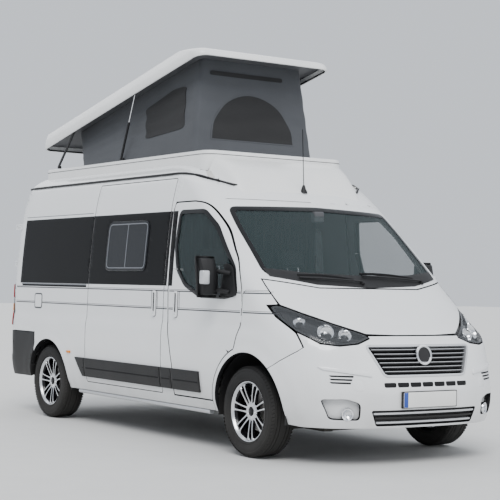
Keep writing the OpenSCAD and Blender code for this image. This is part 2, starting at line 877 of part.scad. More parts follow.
// One cab seat: cushion, back and headrest on its box
module cab_seat(x) {
    translate([x, front_axle, 0]) {
        block([-210, 830, floor_top + seat_gap], [210, 1220, 800]);
        hull() for (sx = [-1, 1], sy = [780, 1210])
            translate([sx * 210, sy, 800]) cylinder(r = 40, h = 130, $fn = 24);
        translate([0, 1210, 860]) rotate([-14, 0, 0])
            hull() for (sx = [-1, 1], z = [0, 600])
                translate([sx * 200, 0, z]) rotate([-90, 0, 0]) cylinder(r = 50, h = 120, $fn = 24);
        translate([0, 1210, 860]) rotate([-14, 0, 0])
            hull() for (sx = [-1, 1], z = [690, 790])
                translate([sx * 90, 20, z]) rotate([-90, 0, 0]) cylinder(r = 45, h = 90, $fn = 24);
    }
}

module cab_seats() {
    color([0.25, 0.25, 0.27]) {
        resize([0, 0, 0]) cab_seat(seat_x * width_scale);
        resize([0, 0, 0]) cab_seat(-seat_x * width_scale);
    }
}

// Living space: lockers that carry the bed, a kitchen block and a bench
bed_start = rear_axle_y - 560;
bed_end = rear_end - 130;
bed_height = 960;
module living_units() {
    color([0.8, 0.78, 0.72]) {
        for (s = [1, -1]) scale([s, 1, 1])
            block([tub_inner - 280, bed_start, floor_top + seat_gap], [tub_inner - 40, bed_end, bed_height - 30]);
        block([-sill_inner + 60, bed_start, bed_height - 31], [sill_inner - 60, bed_end, bed_height]);
        block([-sill_inner + 60, bed_start - 760, floor_top + seat_gap], [-400, bed_start - 80, 1400]);
        block([420, bed_start - 1150, floor_top + seat_gap], [sill_inner - 60, bed_start - 100, 980]);
    }
}

module rear_mattress() {
    color([0.75, 0.75, 0.78])
    translate([0, (bed_start + bed_end) / 2, bed_height + seat_gap])
        linear_extrude(110) offset(r = 60, $fn = 24)
        square([2 * sill_inner - 280, bed_end - bed_start - 160], center = true);
}

// Wheels ------------------------------------------------------------------------

// Steering knuckle with its spindle, brake caliper and suspension strut
module knuckle(side) {
    color([0.3, 0.3, 0.32])
    scale([side, 1, 1]) translate([0, front_axle, hub_height]) {
        along_x(spindle_diameter / 2, 110, kingpin_x + 55);
        block([kingpin_x - 26, -45, arm_top + seat_gap - hub_height], [kingpin_x + 14, 45, 110]);
        block([kingpin_x - 20, 40, -30], [kingpin_x + 10, 100, 30]);
        block([kingpin_x - 20, 95, -65], [kingpin_x + 36, 175, 65]);
        // Suspension strut behind the tyre's shoulder
        block([kingpin_x - 120, -30, 80], [kingpin_x - 20, 30, 110]);
        translate([kingpin_x - 120, 0, 80]) cylinder(r = 30, h = 350);
    }
}

module knuckle_left() { knuckle(1); }
module knuckle_right() { knuckle(-1); }

// Tyre turned about its axle
module tyre(side, y) {
    r = tyre_diameter / 2;
    w = tyre_width / 2;
    b = rim_diameter / 2 + seat_gap;
    color([0.1, 0.1, 0.1])
    translate([side * wheel_x, y, hub_height]) rotate([0, 90, 0])
    rotate_extrude($fn = 96)
    polygon([[b, -w + 14], [b + 16, -w + 4], [b + 50, -w], [r - 30, -w + 6], [r - 8, -w + 22], [r, -w + 48],
        [r, w - 48], [r - 8, w - 22], [r - 30, w - 6], [b + 50, w], [b + 16, w - 4], [b, w - 14]]);
}

spokes = 7;

// Alloy rim with its hub and brake disc
module rim(side, y) {
    r = rim_diameter / 2;
    w = tyre_width / 2 - 14;
    color("silver")
    translate([side * wheel_x, y, hub_height]) scale([side, 1, 1]) rotate([0, 90, 0])
    difference() {
        union() {
            rotate_extrude($fn = 96)
            polygon([[r, -w], [r, w], [r - 12, w], [r - 20, w - 20], [r - 22, -w + 20], [r - 12, -w]]);
            for (i = [0:spokes - 1], d = [-1, 1]) rotate([0, 0, i * 360 / spokes])
                translate([0, d * 17, w - 48]) rotate([0, 0, d * 3])
                block([44, -9, 0], [r - 12, 9, 30]);
            translate([0, 0, w - 60]) cylinder(r = 72, h = 46);
            translate([0, 0, -24]) cylinder(r = 66, h = w - 36);
            translate([0, 0, -16]) cylinder(r = 150, h = 24, $fn = 72);
        }
        translate([0, 0, -60]) cylinder(r = spindle_diameter / 2 + spindle_clearance, h = w + 22);
    }
}

module tyre_front_left() { tyre(1, front_axle); }
module tyre_front_right() { tyre(-1, front_axle); }
module tyre_rear_left() { tyre(1, rear_axle_y); }
module tyre_rear_right() { tyre(-1, rear_axle_y); }
module rim_front_left() { rim(1, front_axle); }
module rim_front_right() { rim(-1, front_axle); }
module rim_rear_left() { rim(1, rear_axle_y); }
module rim_rear_right() { rim(-1, rear_axle_y); }

// Lifting roof ---------------------------------------------------------------------
// Places in the side view: a pair is [Y, Z]. The closed roof is drawn flat, then lifted.

roof_hatch_half = 540 * width_scale;
roof_hatch_length = plinth_length - 1400;
roof_hatch_y = front_axle + plinth_start + 540 + roof_hatch_length / 2;
plinth_top = up(drawn_roof) + plinth_rise;
pivot_lift = 24;
arm_foot = [front_axle + plinth_start + plinth_length - 240, plinth_top + pivot_lift];
closed_angle = 178;
open_angle = closed_angle - arm_swing;
shell_pivot_closed = arm_foot + arm_length * [cos(closed_angle), sin(closed_angle)];
shell_pivot_open = arm_foot + arm_length * [cos(open_angle), sin(open_angle)];
shell_plane = shell_pivot_closed.y + 24;
shell_lip = 56;
shell_half = plinth_half - 20;
shell_start = front_axle + plinth_start;
shell_length = plinth_length - 25;
lip_width = 15;
strut_x = shell_half - lip_width - 25;
arm_inner = shell_half - lip_width - 21;
arm_thick = 12;
ear_inner = arm_inner - 16;
pin_radius = 8;
strut_foot = [arm_foot.x - 1307, plinth_top + pivot_lift];
strut_eye_closed = shell_pivot_closed + [-1212, -14];

// A closed pair lifted with the roof
function lifted(p) = let (d = p - shell_pivot_closed, c = cos(roof_tilt), s = sin(roof_tilt))
    shell_pivot_open + [d.x * c + d.y * s, d.y * c - d.x * s];

strut_eye_open = lifted(strut_eye_closed);
strut_line = strut_eye_open - strut_foot;
strut_reach = norm(strut_line);
strut_angle = atan2(strut_line.y, strut_line.x);
strut_closed_reach = norm(strut_eye_closed - strut_foot);
tube_length = strut_closed_reach - 55;

// Moves children from the closed roof to the open one
module lift_roof() {
    translate([0, shell_pivot_open.x, shell_pivot_open.y]) rotate([-roof_tilt, 0, 0])
        translate([0, -shell_pivot_closed.x, -shell_pivot_closed.y]) children();
}

// Rounded plan of the roof or its frame, drawn in by inset
module roof_plan(half_side, start, length, inset, corner = 110) {
    r = max(corner - inset, 20);
    translate([0, start + length / 2]) offset(r = r, $fn = 32)
        square([2 * (half_side - inset - r), length - 2 * (inset + r)], center = true);
}

// Ear with a pin through it that points outwards along X
module ear(place, low, side) {
    scale([side, 1, 1]) translate([0, place.x, place.y]) {
        translate([ear_inner, 0, 0]) rotate([0, 90, 0]) cylinder(r = 15, h = 12);
        translate([ear_inner, 0, 0]) rotate([0, 90, 0]) cylinder(r = pin_radius, h = arm_inner + arm_thick - ear_inner);
        block([ear_inner, -15, min(0, low)], [ear_inner + 12, 15, max(0, low)]);
    }
}

// White base frame on the fixed roof, with the feet of the arms and struts
module roof_plinth() {
    color("white") {
        resize([0, 0, 0]) difference() {
            translate([0, 0, plinth_top - 220]) linear_extrude(220)
                roof_plan(plinth_half, shell_start, plinth_length, 0, 130);
            body_core(-seat_gap);
            translate([0, roof_hatch_y, 0]) linear_extrude(reach * 2)
                square([2 * roof_hatch_half, roof_hatch_length], center = true);
        }
        for (side = [1, -1]) {
            ear(arm_foot, -pivot_lift - 1, side);
            strut_ear(strut_foot, -pivot_lift - 1, side);
        }
    }
}

// Ear for the foot of a gas strut
module strut_ear(place, low, side) {
    scale([side, 1, 1]) translate([0, place.x, place.y]) {
        translate([strut_x - strut_radius - 13, 0, 0]) rotate([0, 90, 0]) cylinder(r = 12, h = 10);
        translate([strut_x - strut_radius - 13, 0, 0]) rotate([0, 90, 0]) cylinder(r = 6, h = 2 * strut_radius + 13);
        block([strut_x - strut_radius - 13, -12, min(0, low)], [strut_x - strut_radius - 3, 12, max(0, low)]);
    }
}

// White roof shell, sloping down at its front, with its underside inside a lip
module pop_roof() {
    color("white")
    lift_roof() {
        resize([0, 0, 0]) difference() {
            // Height above the lip, inset at the sides and further inset at the front
            hull() for (k = [[0, 6, 0], [30, 0, 0], [60, 4, 20], [95, 14, 110], [roof_edge, 36, 300],
                [roof_edge + 30, 130, 560], [roof_edge + 42, 300, 800]])
                translate([0, 0, shell_plane - shell_lip + k[0]]) linear_extrude(1)
                    roof_plan(shell_half, shell_start + k[2], shell_length - k[2], k[1]);
            translate([0, 0, shell_plane - shell_lip - 1]) linear_extrude(shell_lip + 1)
                roof_plan(shell_half, shell_start, shell_length, lip_width);
        }
        for (side = [1, -1]) {
            ear(shell_pivot_closed, shell_plane - shell_pivot_closed.y + 1, side);
            // Plate beside the eye of the gas strut
            scale([side, 1, 1])
                block([strut_x - strut_radius - 13, strut_eye_closed.x - 14, strut_eye_closed.y - 10],
                    [strut_x - strut_radius - 3, strut_eye_closed.x + 14, shell_plane + 1]);
        }
    }
}

bellows_half = [645, 540];
bellows_front = 370;
bellows_length = 2110;
bellows_wall = 20;

// Corner of the bellows: low ones on the base frame, high ones under the open roof
function bellows_low(inset) = [for (p = [[-1, 0], [1, 0], [1, 1], [-1, 1]])
    [p.x * (bellows_half[0] * width_scale - inset),
     shell_start + bellows_front + (p.y == 0 ? inset : bellows_length - inset),
     plinth_top + (inset > 0 ? -50 : seat_gap)]];
function bellows_high(inset) = [for (p = [[-1, 0], [1, 0], [1, 1], [-1, 1]])
    let (q = lifted([shell_start + 240 + (p.y == 0 ? inset : bellows_length + 260 - inset),
        shell_plane + (inset > 0 ? 50 : -seat_gap)]))
    [p.x * (bellows_half[1] * width_scale - inset), q.x, q.y]];

module bellows_block(inset) {
    polyhedron(concat(bellows_low(inset), bellows_high(inset)),
        [[0, 1, 2, 3], [7, 6, 5, 4], [0, 4, 5, 1], [1, 5, 6, 2], [2, 6, 7, 3], [3, 7, 4, 0]]);
}

// Fabric walls between the base frame and the roof
module roof_bellows() {
    color("dimgray")
    resize([0, 0, 0]) difference() {
        bellows_block(0);
        bellows_block(bellows_wall);
    }
}

module lift_arms() {
    color("black")
    for (side = [1, -1]) scale([side, 1, 1])
    translate([arm_inner, arm_foot.x, arm_foot.y]) rotate([open_angle, 0, 0])
    difference() {
        union() {
            for (y = [0, arm_length]) translate([0, y, 0]) rotate([0, 90, 0]) cylinder(r = 16, h = arm_thick);
            block([0, 0, -10], [arm_thick, arm_length, 10]);
        }
        for (y = [0, arm_length]) translate([-1, y, 0]) rotate([0, 90, 0])
            cylinder(r = pin_radius + spindle_clearance, h = arm_thick + 2);
    }
}

// Frame of a gas strut: Y along it from its foot
module on_strut(side) {
    scale([side, 1, 1]) translate([strut_x, strut_foot.x, strut_foot.y]) rotate([strut_angle, 0, 0])
        children();
}

rod_radius = 5;
rod_start = tube_length - 90;
module strut_tubes() {
    color("black")
    for (side = [1, -1]) on_strut(side)
    difference() {
        union() {
            along_x(11, 2 * strut_radius - 2);
            translate([0, 6, 0]) rotate([-90, 0, 0]) cylinder(r = strut_radius, h = tube_length - 6);
        }
        along_x(6 + spindle_clearance, 3 * strut_radius);
        translate([0, 35, 0]) rotate([-90, 0, 0])
            cylinder(r = rod_radius + spindle_clearance, h = tube_length);
    }
}

module strut_rods() {
    color("silver")
    for (side = [1, -1]) on_strut(side)
    difference() {
        union() {
            along_x(10, 2 * strut_radius - 4, 0);
            translate([0, rod_start, 0]) rotate([-90, 0, 0]) cylinder(r = rod_radius, h = strut_reach - rod_start);
            translate([0, strut_reach, 0]) along_x(10, 2 * strut_radius - 4);
        }
        translate([0, strut_reach, 0]) along_x(5, 3 * strut_radius);
        block([-20, -20, -20], [20, 20, 20]);
    }
}

antenna_y = 690;
antenna_length = 540;

// Whip aerial on the front of the roof
module antenna() {
    color("black")
    resize([0, 0, 0]) difference() {
        translate([0, front_axle + antenna_y, up(2095)]) {
            cylinder(r1 = 34, r2 = 12, h = 62, $fn = 32);
            translate([0, 0, 50]) rotate([-3, 0, 0]) cylinder(r1 = 5, r2 = 3, h = antenna_length, $fn = 16);
        }
        body_core(-seat_gap);
    }
}

floor_pan();
underframe();
left_side_wall();
right_side_wall();
sliding_door();
side_windows();
cab_frame();
roof_skin();
roof_plinth();
front_wings();
front_bumper();
grille();
headlamps();
windscreen();
wipers();
rear_bumper();
tail_lamps();
engine();
rear_axle();
exhaust();
fuel_tank();
dashboard();
cab_seats();
living_units();
rear_mattress();
antenna();
steering_wheel();
knuckle_left();
knuckle_right();
tyre_front_left();
tyre_front_right();
tyre_rear_left();
tyre_rear_right();
rim_front_left();
rim_front_right();
rim_rear_left();
rim_rear_right();
front_door_left();
front_door_right();
door_glass_left();
door_glass_right();
mirror_left();
mirror_right();
rear_door_left();
rear_door_right();
rear_window_left();
rear_window_right();
bonnet();
pop_roof();
roof_bellows();
lift_arms();
strut_tubes();
strut_rods();
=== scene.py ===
"""Looks of a high-roof camper van with a lifting roof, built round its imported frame."""

import logging
import math
from dataclasses import dataclass, field
from enum import Enum
from typing import Callable, Iterable, Sequence

import bmesh
import bpy
import numpy as np
from mathutils import Matrix, Vector


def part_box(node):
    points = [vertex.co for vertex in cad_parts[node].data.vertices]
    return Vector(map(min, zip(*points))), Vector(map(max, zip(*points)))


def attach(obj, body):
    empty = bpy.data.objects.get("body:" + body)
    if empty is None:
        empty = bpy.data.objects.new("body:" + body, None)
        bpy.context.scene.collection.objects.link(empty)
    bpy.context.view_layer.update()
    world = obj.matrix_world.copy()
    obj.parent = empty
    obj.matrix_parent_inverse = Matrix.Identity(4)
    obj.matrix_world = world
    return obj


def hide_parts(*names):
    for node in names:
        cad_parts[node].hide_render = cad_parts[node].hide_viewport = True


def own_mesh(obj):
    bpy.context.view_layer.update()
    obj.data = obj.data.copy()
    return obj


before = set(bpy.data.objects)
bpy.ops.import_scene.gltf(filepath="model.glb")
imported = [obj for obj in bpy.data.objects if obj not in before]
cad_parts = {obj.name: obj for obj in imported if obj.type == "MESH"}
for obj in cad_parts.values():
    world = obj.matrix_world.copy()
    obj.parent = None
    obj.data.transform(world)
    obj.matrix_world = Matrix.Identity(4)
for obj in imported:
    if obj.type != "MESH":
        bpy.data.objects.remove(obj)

log = logging.getLogger("camper")
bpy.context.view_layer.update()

Pair = tuple[float, float]
Outline = list[Pair]
Thing = bpy.types.Object

FRONT_AXLE = -1.7585
REAR_AXLE = 1.6915
REAR_END = 2.7065
HUB_HEIGHT = 0.353
FRONT_ARCH = 0.455
REAR_ARCH = 0.41


class Body(str, Enum):
    """Moving bodies of the frame that pieces ride on."""

    ROOT = "root"
    DOOR_LEFT = "door_left"
    DOOR_RIGHT = "door_right"
    LEAF_LEFT = "rear_leaf_left"
    LEAF_RIGHT = "rear_leaf_right"
    HOOD = "hood"
    ROOF = "roof_shell"
    ARMS = "roof_arms"
    TUBES = "strut_cylinders"
    RODS = "strut_pistons"
    STEERING = "steering"


class Slot(str, Enum):
    """Material slots of the frame that pieces take their finish from."""

    WHITE = "body_white"
    SHELL = "white_shell"
    BLACK = "black_plastic"
    ACRYLIC = "window_acrylic"
    GLASS = "clear_glass"
    LAMP = "lamp_clear"
    RED = "lamp_red"
    TRIM = "trim_grey"
    SEAT = "seat_cloth"
    WOOD = "furniture"
    MATTRESS = "mattress_cloth"
    TYRE = "tyre_rubber"
    RIM = "rim_alloy"
    BELLOWS = "bellows_cloth"
    STRUT = "strut_black"
    CHROME = "rod_chrome"


# Finishes ---------------------------------------------------------------------


@dataclass(frozen=True)
class Finish:
    """A moulded, painted or metal surface with fine grain, soft colour change and dust low down."""

    name: str
    colour: tuple[float, float, float]
    rough: float = 0.4
    metal: float = 0.0
    coat: float = 0.0
    grain: float = 400.0
    depth: float = 0.02
    mottle: float = 0.04
    dust: float = 0.0
    glow: float = 0.0
    shine: float = 0.5

    def material(self) -> bpy.types.Material:
        """Gives the finish's material, made once.

        Returns:
            The node material.
        """
        found = bpy.data.materials.get(f"finish_{self.name}")
        if found:
            return found
        made = bpy.data.materials.new(f"finish_{self.name}")
        made.use_nodes = True
        made.diffuse_color = (*self.colour, 1.0)
        self.dress(made.node_tree)
        return made

    def node(self, tree: bpy.types.NodeTree, kind: str, **values: object) -> bpy.types.Node:
        """Adds a node and sets its sockets and properties.

        Args:
            tree: The material's nodes.
            kind: Node type without its prefix.
            values: Socket values by name with spaces as underscores, or properties.

        Returns:
            The new node.
        """
        made = tree.nodes.new("ShaderNode" + kind)
        for key, value in values.items():
            socket = made.inputs.get(key.replace("_", " "))
            if socket is None:
                setattr(made, key, value)
            else:
                socket.default_value = value
        return made

    def dress(self, tree: bpy.types.NodeTree) -> None:
        """Fills the material's nodes.

        Args:
            tree: The material's nodes.
        """
        shader = tree.nodes["Principled BSDF"]
        place = self.node(tree, "TexCoord")
        cloud = self.node(tree, "TexNoise", Scale=3.1, Detail=5.0)
        grain = self.node(tree, "TexNoise", Scale=self.grain, Detail=3.0)
        for noise in (cloud, grain):
            tree.links.new(place.outputs["Object"], noise.inputs["Vector"])
        tint = self.ramp(tree, cloud.outputs["Fac"], 1 - self.mottle, 1 + self.mottle)
        if self.dust:
            tint = self.with_dust(tree, place, cloud, tint)
        tree.links.new(tint, shader.inputs["Base Color"])
        level = self.node(tree, "MapRange", From_Min=0.3, From_Max=0.7,
                          To_Min=max(0.0, self.rough - 0.05), To_Max=min(1.0, self.rough + 0.07))
        tree.links.new(grain.outputs["Fac"], level.inputs["Value"])
        tree.links.new(level.outputs["Result"], shader.inputs["Roughness"])
        bump = self.node(tree, "Bump", Strength=self.depth, Distance=0.002)
        tree.links.new(self.height(tree, place, grain), bump.inputs["Height"])
        tree.links.new(bump.outputs["Normal"], shader.inputs["Normal"])
        shader.inputs["Metallic"].default_value = self.metal
        shader.inputs["Coat Weight"].default_value = self.coat
        shader.inputs["Coat Roughness"].default_value = 0.06
        shader.inputs["Specular IOR Level"].default_value = self.shine
        if self.glow:
            shader.inputs["Emission Color"].default_value = (*self.colour, 1.0)
            shader.inputs["Emission Strength"].default_value = self.glow
        self.extra(shader)

    def ramp(self, tree: bpy.types.NodeTree, fac: bpy.types.NodeSocket, low: float,
             high: float) -> bpy.types.NodeSocket:
        """Colour that goes from darker to lighter with a value.

        Args:
            tree: The material's nodes.
            fac: Value that drives it.
            low: Factor on the colour at the low end.
            high: Factor at the high end.

        Returns:
            The colour socket.
        """
        ramp = self.node(tree, "ValToRGB")
        for stop, place, by in zip(ramp.color_ramp.elements, (0.3, 0.7), (low, high)):
            stop.position = place
            stop.color = (*(min(1.0, c * by) for c in self.colour), 1.0)
        tree.links.new(fac, ramp.inputs["Fac"])
        return ramp.outputs["Color"]

    def with_dust(self, tree: bpy.types.NodeTree, place: bpy.types.Node, cloud: bpy.types.Node,
                  tint: bpy.types.NodeSocket) -> bpy.types.NodeSocket:
        """Mixes road dust into the lowest parts.

        Args:
            tree: The material's nodes.
            place: Texture coordinates.
            cloud: Soft noise that breaks up the dust's edge.
            tint: Colour without dust.

        Returns:
            The colour socket.
        """
        split = self.node(tree, "SeparateXYZ")
        tree.links.new(place.outputs["Object"], split.inputs[0])
        fade = self.node(tree, "MapRange", From_Min=0.75, From_Max=0.3, To_Min=0.0, To_Max=self.dust)
        tree.links.new(split.outputs["Z"], fade.inputs["Value"])
        scatter = self.node(tree, "Math", operation="MULTIPLY")
        tree.links.new(fade.outputs["Result"], scatter.inputs[0])
        tree.links.new(cloud.outputs["Fac"], scatter.inputs[1])
        mix = self.node(tree, "MixRGB")
        mix.inputs["Color2"].default_value = (0.2, 0.18, 0.15, 1.0)
        tree.links.new(scatter.outputs[0], mix.inputs["Fac"])
        tree.links.new(tint, mix.inputs["Color1"])
        return mix.outputs["Color"]

    def height(self, tree: bpy.types.NodeTree, place: bpy.types.Node,
               grain: bpy.types.Node) -> bpy.types.NodeSocket:
        """Height that the bump reads; plain grain here."""
        return grain.outputs["Fac"]

    def extra(self, shader: bpy.types.Node) -> None:
        """Last settings on the shader; none here."""


@dataclass(frozen=True)
class Cloth(Finish):
    """Woven cloth with crossing threads."""

    thread: float = 900.0

    def height(self, tree: bpy.types.NodeTree, place: bpy.types.Node,
               grain: bpy.types.Node) -> bpy.types.NodeSocket:
        """Threads that cross, as the higher of two waves.

        Args:
            tree: The material's nodes.
            place: Node that gives Object coordinates.
            grain: Noise of the finish; not used here.

        Returns:
            The socket that the bump reads.
        """
        waves = []
        for axis in ("X", "Z"):
            wave = self.node(tree, "TexWave", Scale=self.thread / 6.3, Distortion=0.6)
            wave.bands_direction = axis
            tree.links.new(place.outputs["Object"], wave.inputs["Vector"])
            waves.append(wave.outputs["Fac"])
        top = self.node(tree, "Math", operation="MAXIMUM")
        tree.links.new(waves[0], top.inputs[0])
        tree.links.new(waves[1], top.inputs[1])
        return top.outputs[0]

    def extra(self, shader: bpy.types.Node) -> None:
        """Soft sheen of the fibres."""
        shader.inputs["Sheen Weight"].default_value = 0.05


@dataclass(frozen=True)
class Timber(Finish):
    """Laminated furniture board with a drawn-out grain."""

    def height(self, tree: bpy.types.NodeTree, place: bpy.types.Node,
               grain: bpy.types.Node) -> bpy.types.NodeSocket:
        """Long grain along the height.

        Args:
            tree: The material's nodes.
            place: Node that gives Object coordinates.
            grain: Noise of the finish; not used here.

        Returns:
            The socket that the bump reads.
        """
        wave = self.node(tree, "TexWave", Scale=14.0, Distortion=6.0, Detail=3.0)
        tree.links.new(place.outputs["Object"], wave.inputs["Vector"])
        return wave.outputs["Fac"]


@dataclass(frozen=True)
class Glazing(Finish):
    """Tinted glass or clear lens."""

    clear: float = 0.9

    def extra(self, shader: bpy.types.Node) -> None:
        """Lets light through."""
        shader.inputs["Alpha"].default_value = max(0.05, 1.0 - self.clear)


WHITE = Finish("white_paint", (0.8, 0.81, 0.82), rough=0.22, coat=0.7, grain=900, depth=0.006, mottle=0.012,
               dust=0.5)
GELCOAT = Finish("white_gelcoat", (0.8, 0.805, 0.8), rough=0.3, coat=0.3, grain=140, depth=0.02, mottle=0.02)
# Black finish: real rubber on wipers, seals and trims; on panel rims and dark slot pieces it is painted shade.
SEAL_AND_SHADE = Finish("rubber_seal_and_shade", (0.01, 0.01, 0.011), rough=0.7, grain=700, depth=0.05, shine=0.2)
GRAINED = Finish("grained_black", (0.012, 0.012, 0.013), rough=0.5, grain=900, depth=0.18, mottle=0.15,
                 dust=0.08,
                 shine=0.3)
GLOSS_BLACK = Finish("gloss_black", (0.005, 0.005, 0.006), rough=0.16, coat=0.1, grain=600, depth=0.006,
                     mottle=0.1,
                     shine=0.3)
BAND = Finish("black_band", (0.004, 0.0042, 0.005), rough=0.42, grain=500, depth=0.015, mottle=0.1,
              shine=0.12)
STRIPE = Finish("grey_stripe", (0.035, 0.037, 0.042), rough=0.4, grain=500, depth=0.01, shine=0.3)
PALE_LINE = Finish("pale_line", (0.16, 0.17, 0.19), rough=0.4, grain=500, depth=0.01, shine=0.3)
UNDER = Finish("underbody", (0.03, 0.03, 0.032), rough=0.75, grain=260, depth=0.3, mottle=0.3, dust=0.5)
CAST = Finish("cast_metal", (0.2, 0.2, 0.205), rough=0.62, metal=0.7, grain=190, depth=0.35, mottle=0.25)
ALLOY = Finish("machined_alloy", (0.72, 0.73, 0.75), rough=0.24, metal=0.95, coat=0.3, grain=600, depth=0.02)
SILVER = Finish("silver_paint", (0.6, 0.61, 0.63), rough=0.3, metal=0.55, coat=0.4, grain=700, depth=0.01)
CHROME = Finish("chrome", (0.85, 0.86, 0.88), rough=0.08, metal=1.0, grain=700, depth=0.004, mottle=0.02)
STEEL = Finish("worn_steel", (0.42, 0.41, 0.4), rough=0.4, metal=0.85, grain=160, depth=0.15, mottle=0.25)
DISC = Finish("disc_steel", (0.36, 0.35, 0.34), rough=0.34, metal=0.9, grain=300, depth=0.08, mottle=0.12)
RUBBER = Finish("tyre_rubber", (0.012, 0.012, 0.0125), rough=0.78, grain=500, depth=0.2, mottle=0.25,
                dust=0.12,
                shine=0.3)
TRIM = Finish("cab_trim", (0.07, 0.072, 0.078), rough=0.6, grain=700, depth=0.2, mottle=0.1)
INNER = Finish("inner_panel", (0.3, 0.3, 0.3), rough=0.7, grain=500, depth=0.15, mottle=0.06)
PALE_TRIM = Finish("pale_trim", (0.55, 0.54, 0.52), rough=0.65, grain=500, depth=0.1, mottle=0.05)
SEAT = Cloth("seat_cloth", (0.06, 0.062, 0.07), rough=0.9, depth=0.5, mottle=0.15)
BELLOWS = Cloth("bellows_cloth", (0.062, 0.066, 0.074), rough=0.88, depth=0.35, mottle=0.07)
MESH = Cloth("black_mesh", (0.01, 0.01, 0.011), rough=0.8, depth=0.4, mottle=0.15, thread=600)
TICKING = Cloth("mattress_ticking", (0.6, 0.58, 0.54), rough=0.9, depth=0.4, mottle=0.05)
WOOD = Timber("pale_board", (0.55, 0.44, 0.32), rough=0.45, depth=0.1, mottle=0.12)
GLASS = Glazing("tinted_glass", (0.05, 0.075, 0.078), rough=0.04, grain=40, depth=0.002, mottle=0.03,
                clear=0.76)
SMOKED = Glazing("smoked_acrylic", (0.012, 0.014, 0.018), rough=0.1, grain=80, depth=0.006, clear=0.2,
                 shine=0.35)
LENS = Glazing("clear_lens", (0.3, 0.32, 0.34), rough=0.02, grain=60, depth=0.004, mottle=0.01, clear=0.93)
RED_LENS = Glazing("red_lens", (0.42, 0.008, 0.01), rough=0.08, grain=120, depth=0.02, clear=0.1)
AMBER = Glazing("amber_lens", (0.75, 0.24, 0.02), rough=0.08, grain=120, depth=0.02, clear=0.1)
BLUE = Finish("blue_patch", (0.02, 0.06, 0.32), rough=0.4, grain=500, depth=0.01)
PLATE = Finish("plate_white", (0.78, 0.78, 0.76), rough=0.35, grain=500, depth=0.02)


# Bench: small tools shared by every class ----------------------------------------


def only(thing: Thing) -> None:
    """Selects one object and makes it active.

    Args:
        thing: The object.
    """
    bpy.ops.object.select_all(action="DESELECT")
    thing.select_set(True)
    bpy.context.view_layer.objects.active = thing


def fresh(name: str, points: Iterable[Sequence[float]], faces: Iterable[Sequence[int]] = (),
          edges: Iterable[Sequence[int]] = ()) -> Thing:
    """Makes an object from points, faces and edges.

    Args:
        name: Its name.
        points: Places of its corners, in metres.
        faces: Corner numbers of each face.
        edges: Corner numbers of each loose edge.

    Returns:
        The new object.
    """
    mesh = bpy.data.meshes.new(name)
    mesh.from_pydata([tuple(p) for p in points], [tuple(e) for e in edges], [tuple(f) for f in faces])
    mesh.update()
    made = bpy.data.objects.new(name, mesh)
    bpy.context.scene.collection.objects.link(made)
    return made


def worked(thing: Thing, kind: str, **settings: object) -> Thing:
    """Adds a modifier and applies it.

    Args:
        thing: The object.
        kind: Modifier type.
        settings: Its settings.

    Returns:
        The same object.
    """
    only(thing)
    modifier = thing.modifiers.new(kind.lower(), kind)
    for key, value in settings.items():
        setattr(modifier, key, value)
    bpy.ops.object.modifier_apply(modifier=modifier.name)
    return thing


def outward(thing: Thing) -> Thing:
    """Merges doubled corners and turns all faces outwards.

    Args:
        thing: The object.

    Returns:
        The same object.
    """
    only(thing)
    bpy.ops.object.mode_set(mode="EDIT")
    bpy.ops.mesh.select_all(action="SELECT")
    bpy.ops.mesh.remove_doubles(threshold=1e-5)
    bpy.ops.mesh.normals_make_consistent(inside=False)
    bpy.ops.object.mode_set(mode="OBJECT")
    return thing


def softened(thing: Thing, width: float = 0.002, steps: int = 2, angle: float = 35.0) -> Thing:
    """Bevels the sharp edges and shades smooth by angle.

    Args:
        thing: The object.
        width: Width of the bevel in metres, or 0 for none.
        steps: Segments of the bevel.
        angle: Edges sharper than this, in degrees, count as sharp.

    Returns:
        The same object.
    """
    if width:
        worked(thing, "BEVEL", width=width, segments=steps, limit_method="ANGLE",
               angle_limit=math.radians(angle), harden_normals=False)
    only(thing)
    bpy.ops.object.shade_smooth_by_angle(angle=math.radians(angle))
    return thing


def joined(name: str, things: Sequence[Thing]) -> Thing:
    """Joins objects into one.

    Args:
        name: Name of the result.
        things: The objects; the first keeps its data.

    Returns:
        The joined object.
    """
    only(things[0])
    for thing in things:
        thing.select_set(True)
    bpy.ops.object.join()
    things[0].name = name
    return things[0]


def moved(thing: Thing, matrix: Matrix) -> Thing:
    """Places the mesh itself by a matrix, and turns it right side out if mirrored.

    Args:
        thing: The object.
        matrix: Its turn and shift.

    Returns:
        The same object.
    """
    thing.data.transform(matrix)
    if matrix.determinant() < 0:
        thing.data.flip_normals()
    thing.data.update()
    return thing


def mirrored(thing: Thing, name: str) -> Thing:
    """Gives a copy of the piece on the other side of the van.

    Args:
        thing: The piece on one side.
        name: Name of the copy.

    Returns:
        The copy, with its own mesh.
    """
    twin = thing.copy()
    twin.data = thing.data.copy()
    twin.name = name
    bpy.context.scene.collection.objects.link(twin)
    return moved(twin, Matrix.Scale(-1, 4, (1, 0, 0)))


